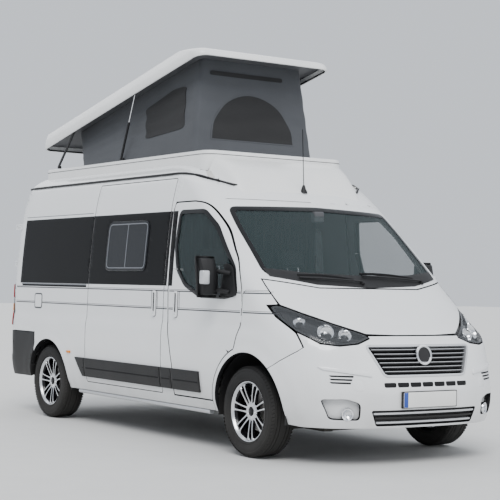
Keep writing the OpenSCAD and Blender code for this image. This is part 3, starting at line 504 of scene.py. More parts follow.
def rod(name: str, points: Sequence[Sequence[float]], radius: float, sides: int = 12,
        flat: float = 1.0) -> Thing:
    """Makes a closed bar swept along points.

    Args:
        name: Its name.
        points: Its middle line.
        radius: Half its width.
        sides: Corners of its section.
        flat: Height of the section over its width.

    Returns:
        The bar.
    """
    path = [Vector(p) for p in points]
    rings: list[list[float]] = []
    for i, here in enumerate(path):
        along = (path[min(i + 1, len(path) - 1)] - path[max(i - 1, 0)]).normalized()
        side = along.cross(Vector((0, 0, 1)))
        side = side.normalized() if side.length > 0.05 else Vector((1, 0, 0))
        up = side.cross(along)
        for k in range(sides):
            a = 2 * math.pi * k / sides
            rings.append(here + side * (radius * math.cos(a)) + up * (radius * flat * math.sin(a)))
    count = len(path)
    faces = [(i * sides + k, i * sides + (k + 1) % sides, (i + 1) * sides + (k + 1) % sides,
              (i + 1) * sides + k)
             for i in range(count - 1) for k in range(sides)]
    faces += [tuple(range(sides))[::-1], tuple(range((count - 1) * sides, count * sides))]
    return outward(fresh(name, rings, faces))


def lathed(name: str, profile: Sequence[Pair], steps: int = 48, along: str = "X") -> Thing:
    """Spins a profile of (radius, place) pairs about an axis into a closed shape.

    Args:
        name: Its name.
        profile: Pairs of distance from the axis and place along it.
        steps: Facets round the axis.
        along: Axis, X, Y or Z.

    Returns:
        The turned object.
    """
    axis = {"X": (1, 0, 0), "Y": (0, 1, 0), "Z": (0, 0, 1)}[along]
    spread = {"X": lambda r, p: (p, 0, r), "Y": lambda r, p: (r, p, 0), "Z": lambda r, p: (r, 0, p)}[along]
    made = fresh(name, [spread(r, p) for r, p in profile],
                 edges=[(i, i + 1) for i in range(len(profile) - 1)])
    only(made)
    bpy.ops.object.mode_set(mode="EDIT")
    bpy.ops.mesh.select_all(action="SELECT")
    bpy.ops.mesh.spin(steps=steps, angle=2 * math.pi, center=(0, 0, 0), axis=axis)
    bpy.ops.object.mode_set(mode="OBJECT")
    return outward(made)


def slab(name: str, corners: Sequence[Sequence[float]], push: Sequence[float]) -> Thing:
    """Extrudes a flat face into a closed slab.

    Args:
        name: Its name.
        corners: Corners of the face, in order.
        push: Direction and depth of the extrusion.

    Returns:
        The slab.
    """
    made = fresh(name, corners, [range(len(corners))])
    only(made)
    bpy.ops.object.mode_set(mode="EDIT")
    bpy.ops.mesh.select_all(action="SELECT")
    bpy.ops.mesh.extrude_region_move(TRANSFORM_OT_translate={"value": tuple(push)})
    bpy.ops.object.mode_set(mode="OBJECT")
    return outward(made)


def brick(name: str, low: Sequence[float], high: Sequence[float], round_by: float = 0.004,
          steps: int = 2) -> Thing:
    """Makes a block with softened edges between two corners.

    Args:
        name: Its name.
        low: Its lowest corner.
        high: Its highest corner.
        round_by: Width of its rounded edges.
        steps: Pieces in each rounded corner.

    Returns:
        The block.
    """
    (x0, y0, z0), (x1, y1, z1) = low, high
    made = slab(name, [(x0, y0, z0), (x1, y0, z0), (x1, y1, z0), (x0, y1, z0)], (0, 0, z1 - z0))
    return softened(made, round_by, steps)


def fillet(points: Sequence[Pair], radius: float, steps: int = 5) -> Outline:
    """Rounds every corner of a closed outline.

    Args:
        points: Its corners.
        radius: Radius of the rounding.
        steps: Pieces of each arc.

    Returns:
        The rounded outline.
    """
    rounded: Outline = []
    count = len(points)
    for i, corner in enumerate(points):
        here = Vector(corner)
        before, after = Vector(points[i - 1]) - here, Vector(points[(i + 1) % count]) - here
        reach = min(radius, before.length * 0.45, after.length * 0.45)
        start, end = here + before.normalized() * reach, here + after.normalized() * reach
        for k in range(steps + 1):
            t = k / steps
            rounded.append(tuple((1 - t) ** 2 * start + 2 * t * (1 - t) * here + t * t * end))
    return rounded


def arc(centre: Pair, radius: float, start: float, end: float, steps: int = 24) -> Outline:
    """Points on an arc, angles in degrees."""
    angles = [math.radians(start + (end - start) * i / steps) for i in range(steps + 1)]
    return [(centre[0] + radius * math.cos(a), centre[1] + radius * math.sin(a)) for a in angles]


def oblong(y: float, z: float, length: float, height: float, radius: float) -> Outline:
    """Rounded rectangle about a middle."""
    a, b = length / 2, height / 2
    return fillet([(y - a, z - b), (y + a, z - b), (y + a, z + b), (y - a, z + b)], radius)


def painted(thing: Thing, *finishes: Finish) -> Thing:
    """Gives the object these finishes in its material slots.

    Args:
        thing: The object.
        finishes: Finishes in the order of its slots.

    Returns:
        The same object.
    """
    for index, finish in enumerate(finishes):
        if index < len(thing.data.materials):
            thing.data.materials[index] = finish.material()
        else:
            thing.data.materials.append(finish.material())
    return thing


def deliver(thing: Thing, finish: Finish | None, body: Body | str = Body.ROOT,
            stands_for: Sequence[str] = ()) -> Thing:
    """Finishes a piece: its material, its body and the nodes that it stands for.

    Args:
        thing: The piece.
        finish: Its finish, or None where it has its materials already.
        body: Body that it rides on.
        stands_for: CAD nodes that it replaces.

    Returns:
        The piece.
    """
    if finish is not None:
        thing.data.materials.clear()
        painted(thing, finish)
    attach(thing, str(getattr(body, "value", body)))
    if stands_for:
        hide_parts(*stands_for)
    log.info("%s: %d faces", thing.name, len(thing.data.polygons))
    return thing


def both(thing: Thing, finish: Finish | None, bodies: tuple[Body | str, Body | str],
         nodes: Sequence[str] = ()) -> None:
    """Delivers a left piece and its twin on the right.

    Args:
        thing: Left piece, whose name ends in _left.
        finish: Its finish, or None.
        bodies: Left and right body.
        nodes: Left nodes that the pair stands for; the right ones are named alike.
    """
    if finish is not None:
        painted(thing, finish)
    twin = mirrored(thing, thing.name.replace("_left", "_right"))
    deliver(thing, None, bodies[0], nodes)
    deliver(twin, None, bodies[1], [n.replace("_left", "_right") for n in nodes])


# Body shell --------------------------------------------------------------------


@dataclass
class BodyShell:
    """The van's skin: a place on it is (s, z), with s measured round the van from its nose."""

    power: float = 2.8
    corner_span: float = 1.25
    tail_radius: float = 0.19
    levels: tuple[tuple[float, float, float, float, float], ...] = (
        (270, 925, 940, 700, 0), (330, 938, 965, 715, 0), (420, 948, 996, 735, 0), (520, 947, 1012, 755, 0),
        (620, 930, 1021, 770, 25), (760, 893, 1025, 770, 25), (860, 860, 1025, 755, 25),
        (930, 815, 1022, 720, 25),
        (970, 770, 1017, 675, 25), (1060, 625, 1013, 590, 25), (1160, 470, 1011, 510, 25),
        (1250, 335, 1009, 440, 25), (1310, 245, 1006, 400, 25), (1410, 125, 999, 372, 25),
        (1600, -90, 984, 366, 27), (1800, -320, 964, 366, 31), (1960, -505, 945, 372, 39),
        (2060, -615, 927, 385, 47), (2150, -720, 906, 400, 57), (2220, -825, 886, 420, 67),
        (2268, -925, 864, 440, 75), (2320, -1060, 812, 455, 87), (2370, -1230, 726, 470, 103),
        (2410, -1410, 610, 480, 125), (2436, -1580, 460, 490, 155), (2450, -1760, 280, 500, 195))

    def __post_init__(self) -> None:
        """Prepares the smooth curves through the levels."""
        table = np.array(self.levels) / 1000.0
        self.heights, rows = table[:, 0], table[:, 1:]
        steps = np.diff(self.heights)[:, None]
        slopes = np.diff(rows, axis=0) / steps
        middle = np.where(slopes[1:] * slopes[:-1] > 0,
                          2 * slopes[1:] * slopes[:-1] / (slopes[1:] + slopes[:-1] + 1e-12), 0.0)
        self.rows = rows
        self.slopes = np.vstack([slopes[:1], middle, slopes[-1:]])

    def row(self, z: float) -> np.ndarray:
        """Nose, half width, corner depth and set-in at a height.

        Args:
            z: Height.

        Returns:
            The four values.
        """
        z = min(max(z, self.heights[0]), self.heights[-1])
        k = min(int(np.searchsorted(self.heights, z, side="right")) - 1, len(self.heights) - 2)
        h = self.heights[k + 1] - self.heights[k]
        t = (z - self.heights[k]) / h
        return ((2 * t ** 3 - 3 * t ** 2 + 1) * self.rows[k] + (t ** 3 - 2 * t ** 2 + t) * h * self.slopes[k]
                + (3 * t ** 2 - 2 * t ** 3) * self.rows[k + 1] + (t ** 3 - t ** 2) * h * self.slopes[k + 1])

    def ring(self, z: float) -> tuple[float, float, float, float, float]:
        """Nose, half width, depth, tail and tail radius at a height, in the frame."""
        nose, width, depth, set_in = self.row(z)
        return FRONT_AXLE - nose, width, depth, REAR_END - set_in, min(self.tail_radius, width / 2)

    def bulge(self, y: float, z: float) -> float:
        """How far the skin stands out at the arches and below the crease.

        Args:
            y: Place along the vehicle.
            z: Height.

        Returns:
            The distance, in metres.
        """
        out = 0.006 * (1 - smooth_step(z, 0.975, 1.0)) * smooth_step(y, FRONT_AXLE - 0.5, FRONT_AXLE + 0.2)
        for axle, radius in ((FRONT_AXLE, FRONT_ARCH), (REAR_AXLE, REAR_ARCH)):
            away = math.hypot(y - axle, z - HUB_HEIGHT) - radius
            out += 0.009 * (1 - smooth_step(away, 0.02, 0.06)) + 0.006 * (1 - smooth_step(away, 0.13, 0.2))
        return out * (1 - smooth_step(z, 1.02, 1.08))

    def place(self, s: float, z: float, lift: float = 0.0) -> Vector:
        """Place in the frame of a point on the skin.

        Args:
            s: Distance round the van from the nose, positive on the left.
            z: Height.
            lift: Distance out from the skin.

        Returns:
            The place.
        """
        side = -1.0 if s < 0 else 1.0
        s = abs(s)
        nose, width, depth, tail, radius = self.ring(z)
        y = nose + depth + s - self.corner_span
        turn = tail - radius
        if s <= self.corner_span:
            a = 0.5 * math.pi * s / self.corner_span
            reach = (math.sin(a) ** self.power + math.cos(a) ** self.power) ** (1 / self.power)
            c, d = math.sin(a) / reach, math.cos(a) / reach
            point, out = Vector((width * c, nose + depth * (1 - d), z)), Vector((c ** 1.8, -d ** 1.8, 0))
        elif y <= turn:
            point, out = Vector((width, y, z)), Vector((1, 0, 0))
        elif y - turn <= radius * math.pi / 2:
            a = (y - turn) / radius
            point = Vector((width - radius + radius * math.cos(a), turn + radius * math.sin(a), z))
            out = Vector((math.cos(a), math.sin(a), 0))
        else:
            point = Vector((width - radius - (y - turn - radius * math.pi / 2), tail, z))
            out = Vector((0, 1, 0))
        lean = 0.0
        if z > 1.3 and s <= self.corner_span:
            lean = 0.8 * (1 - s / self.corner_span)
        out = (out.normalized() + Vector((0, 0, lean))).normalized()
        if y < REAR_END - 0.2:
            lift += self.bulge(point.y, z) * out.x * out.x
        point += out * lift
        point.x *= side
        return point

    def side(self, y: float, z: float) -> float:
        """s of a point on the left side, y behind the front axle.

        Args:
            y: Place along the vehicle.
            z: Height.

        Returns:
            The length s round the shell.
        """
        nose, _, depth, _, _ = self.ring(z)
        y += FRONT_AXLE
        d = 1 - (y - nose) / depth
        if d <= 0:
            return self.corner_span + y - nose - depth
        d = min(d, 1.0)
        return self.corner_span * math.atan2((1 - d ** self.power) ** (1 / self.power), d) / (0.5 * math.pi)

    def front(self, x: float, z: float) -> float:
        """s of a point seen from the front.

        Args:
            x: Place across the vehicle.
            z: Height.

        Returns:
            The length s round the shell.
        """
        width = self.ring(z)[1]
        c = min(abs(x) / width, 1.0)
        s = self.corner_span * math.atan2(c, (1 - c ** self.power) ** (1 / self.power)) / (0.5 * math.pi)
        return math.copysign(s, x)

    def rear(self, x: float, z: float) -> float:
        """s of a point seen from behind.

        Args:
            x: Place across the vehicle.
            z: Height.

        Returns:
            The length s round the shell.
        """
        nose, width, depth, tail, radius = self.ring(z)
        start = self.corner_span + tail - radius - nose - depth
        inner = width - radius
        if abs(x) > inner:
            s = start + radius * math.acos(min(1.0, (abs(x) - inner) / radius))
        else:
            s = start + radius * math.pi / 2 + inner - abs(x)
        return math.copysign(s, x)

    def trace(self, outline: Sequence[Pair], view: Callable[[float, float], float],
              step: float = 0.025) -> Outline:
        """Carries an outline in a view onto the skin.

        Args:
            outline: Closed outline in the view.
            view: The view's way onto the skin, such as self.side.
            step: Longest piece left undivided.

        Returns:
            The outline in (s, z).
        """
        traced: Outline = []
        for (a0, b0), (a1, b1) in zip(outline, [*outline[1:], outline[0]]):
            count = max(1, math.ceil(math.hypot(a1 - a0, b1 - b0) / step))
            for i in range(count):
                t = i / count
                a, b = a0 + (a1 - a0) * t, b0 + (b1 - b0) * t
                traced.append((view(a, b), b))
        return traced

    def panel(self, name: str, loops: Sequence[Outline], thick: float = 0.05, step: float = 0.045,
              lift: float = 0.0, edge: float = 0.003,
              finishes: Sequence[Finish] = (WHITE, INNER, SEAL_AND_SHADE)) -> Thing:
        """Makes a panel of the skin inside its first outline and outside the others.

        Args:
            name: Its name.
            loops: Outlines in (s, z).
            thick: Its thickness inwards.
            step: Size of its cells.
            lift: How far its face stands out from the skin.
            edge: Width of its rounded edge.
            finishes: Finishes of its face, its back and its rim; the default black rim is painted shade in the shut
                gaps and round openings, and partly stands for the rubber seals there.

        Returns:
            The panel.
        """
        sheet = gridded(loops, step)
        for v in sheet.verts:
            v.co = self.place(v.co.x, v.co.y, lift)
        mesh = bpy.data.meshes.new(name)
        sheet.to_mesh(mesh)
        sheet.free()
        made = bpy.data.objects.new(name, mesh)
        bpy.context.scene.collection.objects.link(made)
        painted(made, *finishes)
        # The rim faces take the third finish, black by default: painted shade in the shut gaps and round openings,
        # partly standing for rubber seals.
        worked(made, "SOLIDIFY", thickness=thick, offset=-1.0, use_even_offset=False,
               material_offset=min(1, len(finishes) - 1), material_offset_rim=min(2, len(finishes) - 1))
        return softened(made, edge, 2 if edge else 1, 40)


GRID_START = 0.0175


def filled(loops: Sequence[Outline]) -> tuple[bmesh.types.BMesh, list[bmesh.types.BMVert]]:
    """Fills an outline and its holes with triangles, at the turn that covers it best.

    Args:
        loops: Outlines in (s, z), the outer one first.

    Returns:
        The mesh and its corners in the outlines' order.
    """
    spans = [abs(sum(a[0] * b[1] - b[0] * a[1] for a, b in zip(o, [*o[1:], o[0]]))) / 2 for o in loops]
    wanted = spans[0] - sum(spans[1:])
    best = None
    for turn in (0.37, 0.0, 1.1, 0.7, 1.9, 2.6):
        sheet = bmesh.new()
        askew = Matrix.Rotation(turn, 3, "Z")
        fixed = []
        for loop in loops:
            corners = [sheet.verts.new(askew @ Vector((s, z, 0))) for s, z in loop]
            for a, b in zip(corners, corners[1:] + corners[:1]):
                sheet.edges.new((a, b))
            fixed += corners
        bmesh.ops.triangle_fill(sheet, use_beauty=True, use_dissolve=False, edges=sheet.edges[:])
        for v, (s, z) in zip(fixed, (pair for loop in loops for pair in loop)):
            v.co = s, z, 0
        miss = abs(sum(f.calc_area() for f in sheet.faces) - wanted) / wanted
        if best is None or miss < best[0] - 1e-6:
            if best:
                best[1].free()
            best = (miss, sheet, fixed)
        else:
            sheet.free()
        if best[0] < 0.001:
            break
    return best[1], best[2]


def gridded(loops: Sequence[Outline], step: float) -> bmesh.types.BMesh:
    """Fills outlines with square cells, in the cleanest way that loses none of their area.

    Args:
        loops: Outlines in (s, z), the outer one first.
        step: Size of the cells.

    Returns:
        The flat mesh.
    """
    for merges, collapses in ((True, True), (True, False), (False, False)):
        sheet, fixed = filled(loops)
        wanted = sum(f.calc_area() for f in sheet.faces)
        sheet.normal_update()
        for face in sheet.faces:
            if face.normal.z < 0:
                face.normal_flip()
        for axis in (0, 1):
            values = [v.co[axis] for v in sheet.verts]
            for k in range(math.ceil((min(values) - GRID_START) / step),
                           math.floor((max(values) - GRID_START) / step) + 1):
                spot, way = Vector((0, 0, 0)), Vector((0, 0, 0))
                spot[axis], way[axis] = GRID_START + k * step, 1.0
                bmesh.ops.bisect_plane(sheet, geom=sheet.verts[:] + sheet.edges[:] + sheet.faces[:],
                                       plane_co=spot, plane_no=way, dist=1e-6)
        spare = []
        for e in sheet.edges:
            if len(e.link_faces) == 2:
                a, b = e.verts[0].co, e.verts[1].co
                cells = [(a[i] - GRID_START) / step for i in (0, 1)]
                on_grid = any(abs(a[i] - b[i]) < 2e-6 and abs(cells[i] - round(cells[i])) < 2e-4 for i in (0,
                                                                                                           1))
                if not on_grid:
                    spare.append(e)
        if merges:
            bmesh.ops.dissolve_edges(sheet, edges=spare, use_verts=False)
            bmesh.ops.remove_doubles(sheet, verts=sheet.verts[:], dist=1e-5)
        if collapses:
            corners = {v for v in fixed if v.is_valid}
            for reach, at_rim in ((0.0016, True), (step * 0.28, False)):
                targets = {}
                for e in sorted((e for e in sheet.edges if e.is_boundary == at_rim and e.calc_length() < reach),
                                key=lambda e: e.calc_length()):
                    a, b = sorted(e.verts, key=lambda v: (v.is_boundary, v in corners))
                    if b.is_boundary and a not in corners and a.is_boundary == at_rim and not {a,
                                                                                               b} & set(targets) \
                            and a not in targets.values():
                        targets[a] = b
                bmesh.ops.weld_verts(sheet, targetmap=targets)
                corners = {v for v in corners if v.is_valid}
        if abs(sum(f.calc_area() for f in sheet.faces) / wanted - 1) < 0.0002:
            break
    return sheet


def smooth_step(value: float, low: float, high: float) -> float:
    """Goes smoothly from 0 at low to 1 at high."""
    t = min(1.0, max(0.0, (value - low) / (high - low)))
    return t * t * (3 - 2 * t)


SHELL = BodyShell()


def grown(outline: Sequence[Pair], by: float) -> Outline:
    """Moves a closed outline outwards, or inwards where by is negative.

    Args:
        outline: Closed outline.
        by: How far, in metres.

    Returns:
        The outline at its new size.
    """
    area = sum(a[0] * b[1] - b[0] * a[1] for a, b in zip(outline, [*outline[1:], outline[0]]))
    sign = 1.0 if area > 0 else -1.0
    moved_to: Outline = []
    for i, here in enumerate(outline):
        a, b = outline[i - 1], outline[(i + 1) % len(outline)]
        u, v = Vector(here) - Vector(a), Vector(b) - Vector(here)
        if u.length < 1e-6 or v.length < 1e-6:
            continue
        n = Vector((u.y, -u.x)).normalized() + Vector((v.y, -v.x)).normalized()
        if n.length < 0.3:
            continue
        n = n.normalized() / max(0.5, n.length / 2)
        moved_to.append((here[0] + sign * by * n.x, here[1] + sign * by * n.y))
    return moved_to


def flipped(loop: Sequence[Pair]) -> Outline:
    """The same outline on the other side of the van."""
    return [(-s, z) for s, z in loop][::-1]


@dataclass
class Outlines:
    """Edges of the body's panels: (y, z) in side views, with y behind the front axle, or (x, z)."""

    gutter: float = 2.262
    sill: float = 0.318

    def front_door(self) -> Outline:
        """Front door, its lower front edge round the arch.

        Returns:
            The outline in (y, z), y behind the front axle.
        """
        round_arch = arc((0.0, HUB_HEIGHT), FRONT_ARCH + 0.048, 5.4, 70.2, 20)
        return [(1.1, 0.4), *round_arch,
                *eased([(0.112, 1.01), (0.099, 1.18), (0.125, 1.33), (0.211, 1.5), (0.3, 1.605),
                                                 (0.435, 1.75), (0.56, 1.855), (0.695, 1.95), (0.8, 1.995),
                                                 (0.93, 2.012)]),
                *fillet_corner((0.93, 2.012), (1.245, 2.012), (1.235, 1.306), 0.05),
                (1.225, 1.306), (1.205, 1.0), (1.14, 0.76), (1.108, 0.64)]

    def front_window(self) -> Outline:
        """Glass of the front door.

        Returns:
            The outline in (y, z), y behind the front axle.
        """
        return fillet([(1.15, 1.64), (1.13, 1.925), (0.76, 1.922), (0.565, 1.792), (0.235, 1.45),
                       (0.185, 1.26),
                       (0.33, 1.232), (0.72, 1.236), (0.96, 1.325), (1.095, 1.45)], 0.04)

    def slider(self) -> Outline:
        """Sliding door."""
        return fillet([(1.295, 0.4), (2.68, 0.4), (2.68, 2.225), (1.295, 2.225)], 0.02)

    def side_pane(self, y: float, length: float) -> Outline:
        """Framed window in the side."""
        return oblong(y, 1.652, length, 0.445, 0.075)

    def screen(self) -> Outline:
        """Windscreen."""
        half = [(0.5, 1.346), (0.868, 1.412), (0.84, 1.8), (0.812, 1.962)]
        return fillet([(0.0, 1.322), *half, (0.0, 1.985), *[(-x, z) for x, z in half[::-1]]], 0.06)

    def bonnet(self) -> Outline:
        """Bonnet.

        Returns:
            The outline in (x, z).
        """
        half = [(0.2, 0.966), (0.448, 0.974), (0.64, 1.05), (0.8, 1.124), (0.9, 1.18), (0.905, 1.23),
                (0.905, 1.372),
                (0.7, 1.341), (0.5, 1.31)]
        return [*half, *[(-x, z) for x, z in half[::-1]]]

    def lamp(self) -> Outline:
        """Left headlamp.

        Returns:
            The outline in (x, z).
        """
        return fillet([(0.462, 0.966), (0.448, 0.946), (0.56, 0.905), (0.7, 0.89), (0.82, 0.905),
                       (0.915, 0.985),
                       (0.955, 1.09), (0.962, 1.168), (0.912, 1.176), (0.8, 1.112), (0.64, 1.038)], 0.02)

    def grille(self) -> Outline:
        """Radiator grille."""
        return fillet([(-0.391, 0.671), (0.391, 0.671), (0.506, 0.889), (-0.506, 0.889)], 0.03)

    def intake(self) -> Outline:
        """Air intake low in the bumper."""
        return fillet([(-0.47, 0.3), (0.47, 0.3), (0.52, 0.418), (-0.52, 0.418)], 0.02)

    def rear_door(self) -> Outline:
        """Left rear door.

        Returns:
            The outline in (x, z).
        """
        return [(0.004, 0.56), (0.79, 0.56), (0.8, 0.57), (0.8, 0.85), (0.883, 0.85), (0.893, 0.86),
                (0.893, 1.3),
                (0.875, 1.96), *fillet_corner((0.875, 1.96), (0.848, 2.185), (0.7, 2.185), 0.05),
                (0.004, 2.185)]

    def rear_pane(self) -> Outline:
        """Window of the left rear door."""
        return oblong(0.45, 1.66, 0.56, 0.44, 0.06)


def eased(points: Sequence[Pair], steps: int = 4) -> Outline:
    """Smooth open line through its points.

    Args:
        points: Points on the line.
        steps: Pieces between two points.

    Returns:
        The smooth line.
    """
    rounded: Outline = []
    for k in range(len(points) - 1):
        a, b, c, d = (Vector(points[min(max(i, 0), len(points) - 1)]) for i in (k - 1, k, k + 1, k + 2))
        for t in (j / steps for j in range(steps)):
            rounded.append(tuple(b + (c - a) * t / 2 + (2 * a - 5 * b + 4 * c - d) * t * t / 2
                                 + (3 * b - a - 3 * c + d) * t ** 3 / 2))
    return [*rounded, tuple(points[-1])]


def fillet_corner(a: Pair, corner: Pair, b: Pair, radius: float, steps: int = 5) -> Outline:
    """Points that round one corner between its neighbours.

    Args:
        a: Neighbour before it.
        corner: The corner that is rounded.
        b: Neighbour after it.
        radius: Radius of the round.
        steps: Pieces in each rounded corner.

    Returns:
        The points of the round.
    """
    here = Vector(corner)
    start = here + (Vector(a) - here).normalized() * radius
    end = here + (Vector(b) - here).normalized() * radius
    return [tuple((1 - t) ** 2 * start + 2 * t * (1 - t) * here + t * t * end)
            for t in (k / steps for k in range(steps + 1))]


EDGES = Outlines()
GAP = 0.0035


@dataclass
class Sides:
    """Side walls with their sliding door, stripes, windows, mouldings and gutter rails."""

    wall_depth: float = 0.055
    band: Pair = (1.306, 1.94)
    band_front: float = 1.165
    band_rear: float = 4.17
    stripe_heights: Pair = (1.107, 1.258)
    panes: tuple[Pair, ...] = ((1.9975, 0.74), (3.74, 0.56))

    def build(self) -> None:
        """Builds both sides."""
        self.walls()
        self.sliding_door()
        for side in (1, -1):
            self.stripes(side)
            self.mouldings(side)
        self.windows()
        self.gutter_rails()

    def wall_loop(self) -> Outline:
        """Edge of the left wall, wrapped round its rear corner to the rear doors.

        Returns:
            The outline in (s, z).
        """
        door = [(1.1 + 0.008, 0.392), (1.116, 0.64), (1.213, 1.0), (1.233, 1.306), (1.253, 1.96),
                (1.233, 2.02),
                (1.262, 2.021), (1.262, EDGES.gutter)]
        low = trace_open([(0.4975, EDGES.sill), *arc((3.45, HUB_HEIGHT), REAR_ARCH, 184.9, 42.4, 40),
                          (3.753, 0.822)],
                         SHELL.side)
        back = trace_open([(0.94, 0.822), (0.812, 0.822), (0.812, 0.842), (0.901, 0.842), (0.901, 1.3),
                           (0.883, 1.96), (0.856, 2.193), (0.0, 2.193), (0.0, EDGES.gutter),
                           (0.6, EDGES.gutter)],
                          SHELL.rear)
        top = trace_open([(4.2, EDGES.gutter), (1.262, EDGES.gutter)], SHELL.side)
        front = trace_open(door[::-1][1:], SHELL.side)
        foot = trace_open([(1.108, 0.392), (0.4975, 0.392)], SHELL.side)
        return [*low, *back, *top, *front[:-1], *foot]

    def walls(self) -> None:
        """Both walls; the right one has the sliding door's opening."""
        loop = self.wall_loop()
        hole = SHELL.trace(grown(EDGES.slider(), GAP), SHELL.side)
        panes = [SHELL.trace(EDGES.side_pane(*p), SHELL.side) for p in self.panes]
        left = SHELL.panel("side_wall_left", [loop, *panes], self.wall_depth)
        deliver(left, None, Body.ROOT, ["left_side_wall"])
        right = SHELL.panel("side_wall_right", [flipped(loop), flipped(hole)], self.wall_depth)
        deliver(right, None, Body.ROOT, ["right_side_wall"])

    def sliding_door(self) -> None:
        """Sliding door with its rail and handle."""
        loop = SHELL.trace(grown(EDGES.slider(), -GAP), SHELL.side)
        pane = SHELL.trace(EDGES.side_pane(*self.panes[0]), SHELL.side)
        door = SHELL.panel("slider_panel", [flipped(loop), flipped(pane)], self.wall_depth)
        deliver(door, None, Body.ROOT, ["sliding_door"])
        self.decal("slider_slot", oblong(3.42, 1.283, 1.4, 0.016, 0.007), SEAL_AND_SHADE, -1, lift=0.002)
        self.decal("slider_rail", oblong(3.42, 1.297, 1.4, 0.011, 0.005), PALE_LINE, -1,
                   lift=0.008,
                   thick=0.01)
        handle(-1, 1.442, Body.ROOT, "slider_handle")

    def decal(self, name: str, outline: Outline, finish: Finish, side: int,
              body: Body = Body.ROOT,
              lift: float = 0.0016, thick: float = 0.003, holes: Sequence[Outline] = (),
              view: Callable[[float, float], float] | None = None, edge: float = 0.0005) -> Thing:
        """Lays a thin piece on the skin.

        Args:
            name: Its name.
            outline: Its edge in a view.
            finish: Its finish.
            side: 1 for the left side, -1 for the right.
            body: Body that it rides on.
            lift: How far its face stands out.
            thick: Its thickness.
            holes: Openings in it.
            view: View of the outlines, or None for the side view.
            edge: Width of its rounded edge.

        Returns:
            The piece.
        """
        loops = [SHELL.trace(o, view or SHELL.side) for o in (outline, *holes)]
        if side < 0:
            loops = [flipped(loop) for loop in loops]
        return deliver(SHELL.panel(name, loops, thick, lift=lift, edge=edge, finishes=(finish,)), None,
                       body)

    def stripes(self, side: int) -> None:
        """Black band, pinstripes, seams and service flap of one side.

        Args:
            side: 1 for the left side, -1 for the right.
        """
        low, high = self.band
        word = "left" if side > 0 else "right"
        door = Body.DOOR_LEFT if side > 0 else Body.DOOR_RIGHT
        panes = [grown(EDGES.side_pane(*p), 0.001) for p in self.panes]
        spans = [(1.2545, self.band_rear, panes)] if side > 0 else [
            (1.2545, 1.290, []), (1.2995, 2.6755, panes[:1]), (2.6845, self.band_rear, [])]
        for k, (a, b, holes) in enumerate(spans):
            self.decal(f"band_{word}_{k}", [(a, low), (b, low), (b, high), (a, high)], BAND,
                       side,
                       holes=holes)
        door_rear = [(self.band_front, low), (1.2205, low), (1.238, high), (self.band_front + 0.01, high)]
        self.decal(f"band_{word}_door", door_rear, BAND, side, door)
        for k, z in enumerate(self.stripe_heights):
            for j, (a, b,
                    body) in enumerate(((-0.15 - 0.17 * (1 - k), 0.085, Body.ROOT), (0.118, 1.203, door),
                                              (1.232, 1.29, Body.ROOT), (1.3, 2.675, Body.ROOT),
                                              (2.685, 4.25, Body.ROOT))):
                for m, (off, tall) in enumerate(((0.0, 0.009), (0.016, 0.003))):
                    zz = z + off
                    self.decal(f"pinstripe_{word}_{k}{j}{m}",
                               [(a, zz), (b, zz), (b, zz + tall), (a, zz + tall)], STRIPE,
                               side, body, lift=0.0008, thick=0.0015, edge=0.0)
        for k, (y, body) in enumerate(((1.035, door), (1.495, Body.ROOT), (1.395, Body.ROOT))):
            self.decal(f"stripe_upright_{word}_{k}",
                       [(y - 0.003, 1.107), (y + 0.003, 1.107), (y + 0.003, 1.267),
                                                      (y - 0.003, 1.267)], STRIPE, side, body,
                       lift=0.001, thick=0.0015, edge=0.0)
        self.decal(f"seam_{word}", [(2.72, 1.965), (4.17, 1.965), (4.17, 1.971), (2.72, 1.971)], PALE_LINE,
                   side, lift=0.001, thick=0.0015, edge=0.0)
        flap = oblong(3.73, 1.13, 0.17, 0.15, 0.035)
        self.decal(f"flap_frame_{word}", flap, STRIPE, side, lift=0.003,
                   holes=[grown(flap, -0.012)])
        self.decal(f"flap_{word}", grown(flap, -0.013), WHITE, side, lift=0.004)
        side_lamp = oblong(3.0, 0.66, 0.07, 0.022, 0.009)
        self.decal(f"marker_{word}", side_lamp, AMBER, side, lift=0.012, thick=0.014, edge=0.003)

    def mouldings(self, side: int) -> None:
        """Black rubbing strip along the sill, with a lower lip.

        Args:
            side: 1 for the left side, -1 for the right.
        """
        word = "left" if side > 0 else "right"
        door = Body.DOOR_LEFT if side > 0 else Body.DOOR_RIGHT
        pieces = ((0.672, 1.101, 0.68, 1.107, door), (1.1125, 1.2895, 1.1155, 1.2895, Body.ROOT),
                  (1.3005, 2.6745, 1.3005, 2.6745, Body.ROOT), (2.6855, 2.735, 2.6855, 2.867, Body.ROOT))
        for k, (a, b, c, d, body) in enumerate(pieces):
            outline = [(a, 0.446), (b, 0.446), (d, 0.618), (c, 0.618)]
            self.decal(f"moulding_{word}_{k}", outline, GRAINED, side, body, lift=0.016,
                       thick=0.018,
                       edge=0.005)
            self.decal(f"moulding_groove_{word}_{k}",
                       [(a + 0.02, 0.522), (b - 0.02, 0.522), (b - 0.02, 0.533),
                                                       (a + 0.02, 0.533)], SEAL_AND_SHADE, side, body,
                       lift=0.0175, thick=0.003)
        step = [SHELL.place(side * SHELL.side(y, 0.33), 0.33, -0.03) for y in np.linspace(0.6, 2.9, 24)]
        for p in step:
            p.z = 0.3
        deliver(rod(f"sill_rail_{word}", step, 0.022, 12), SILVER)

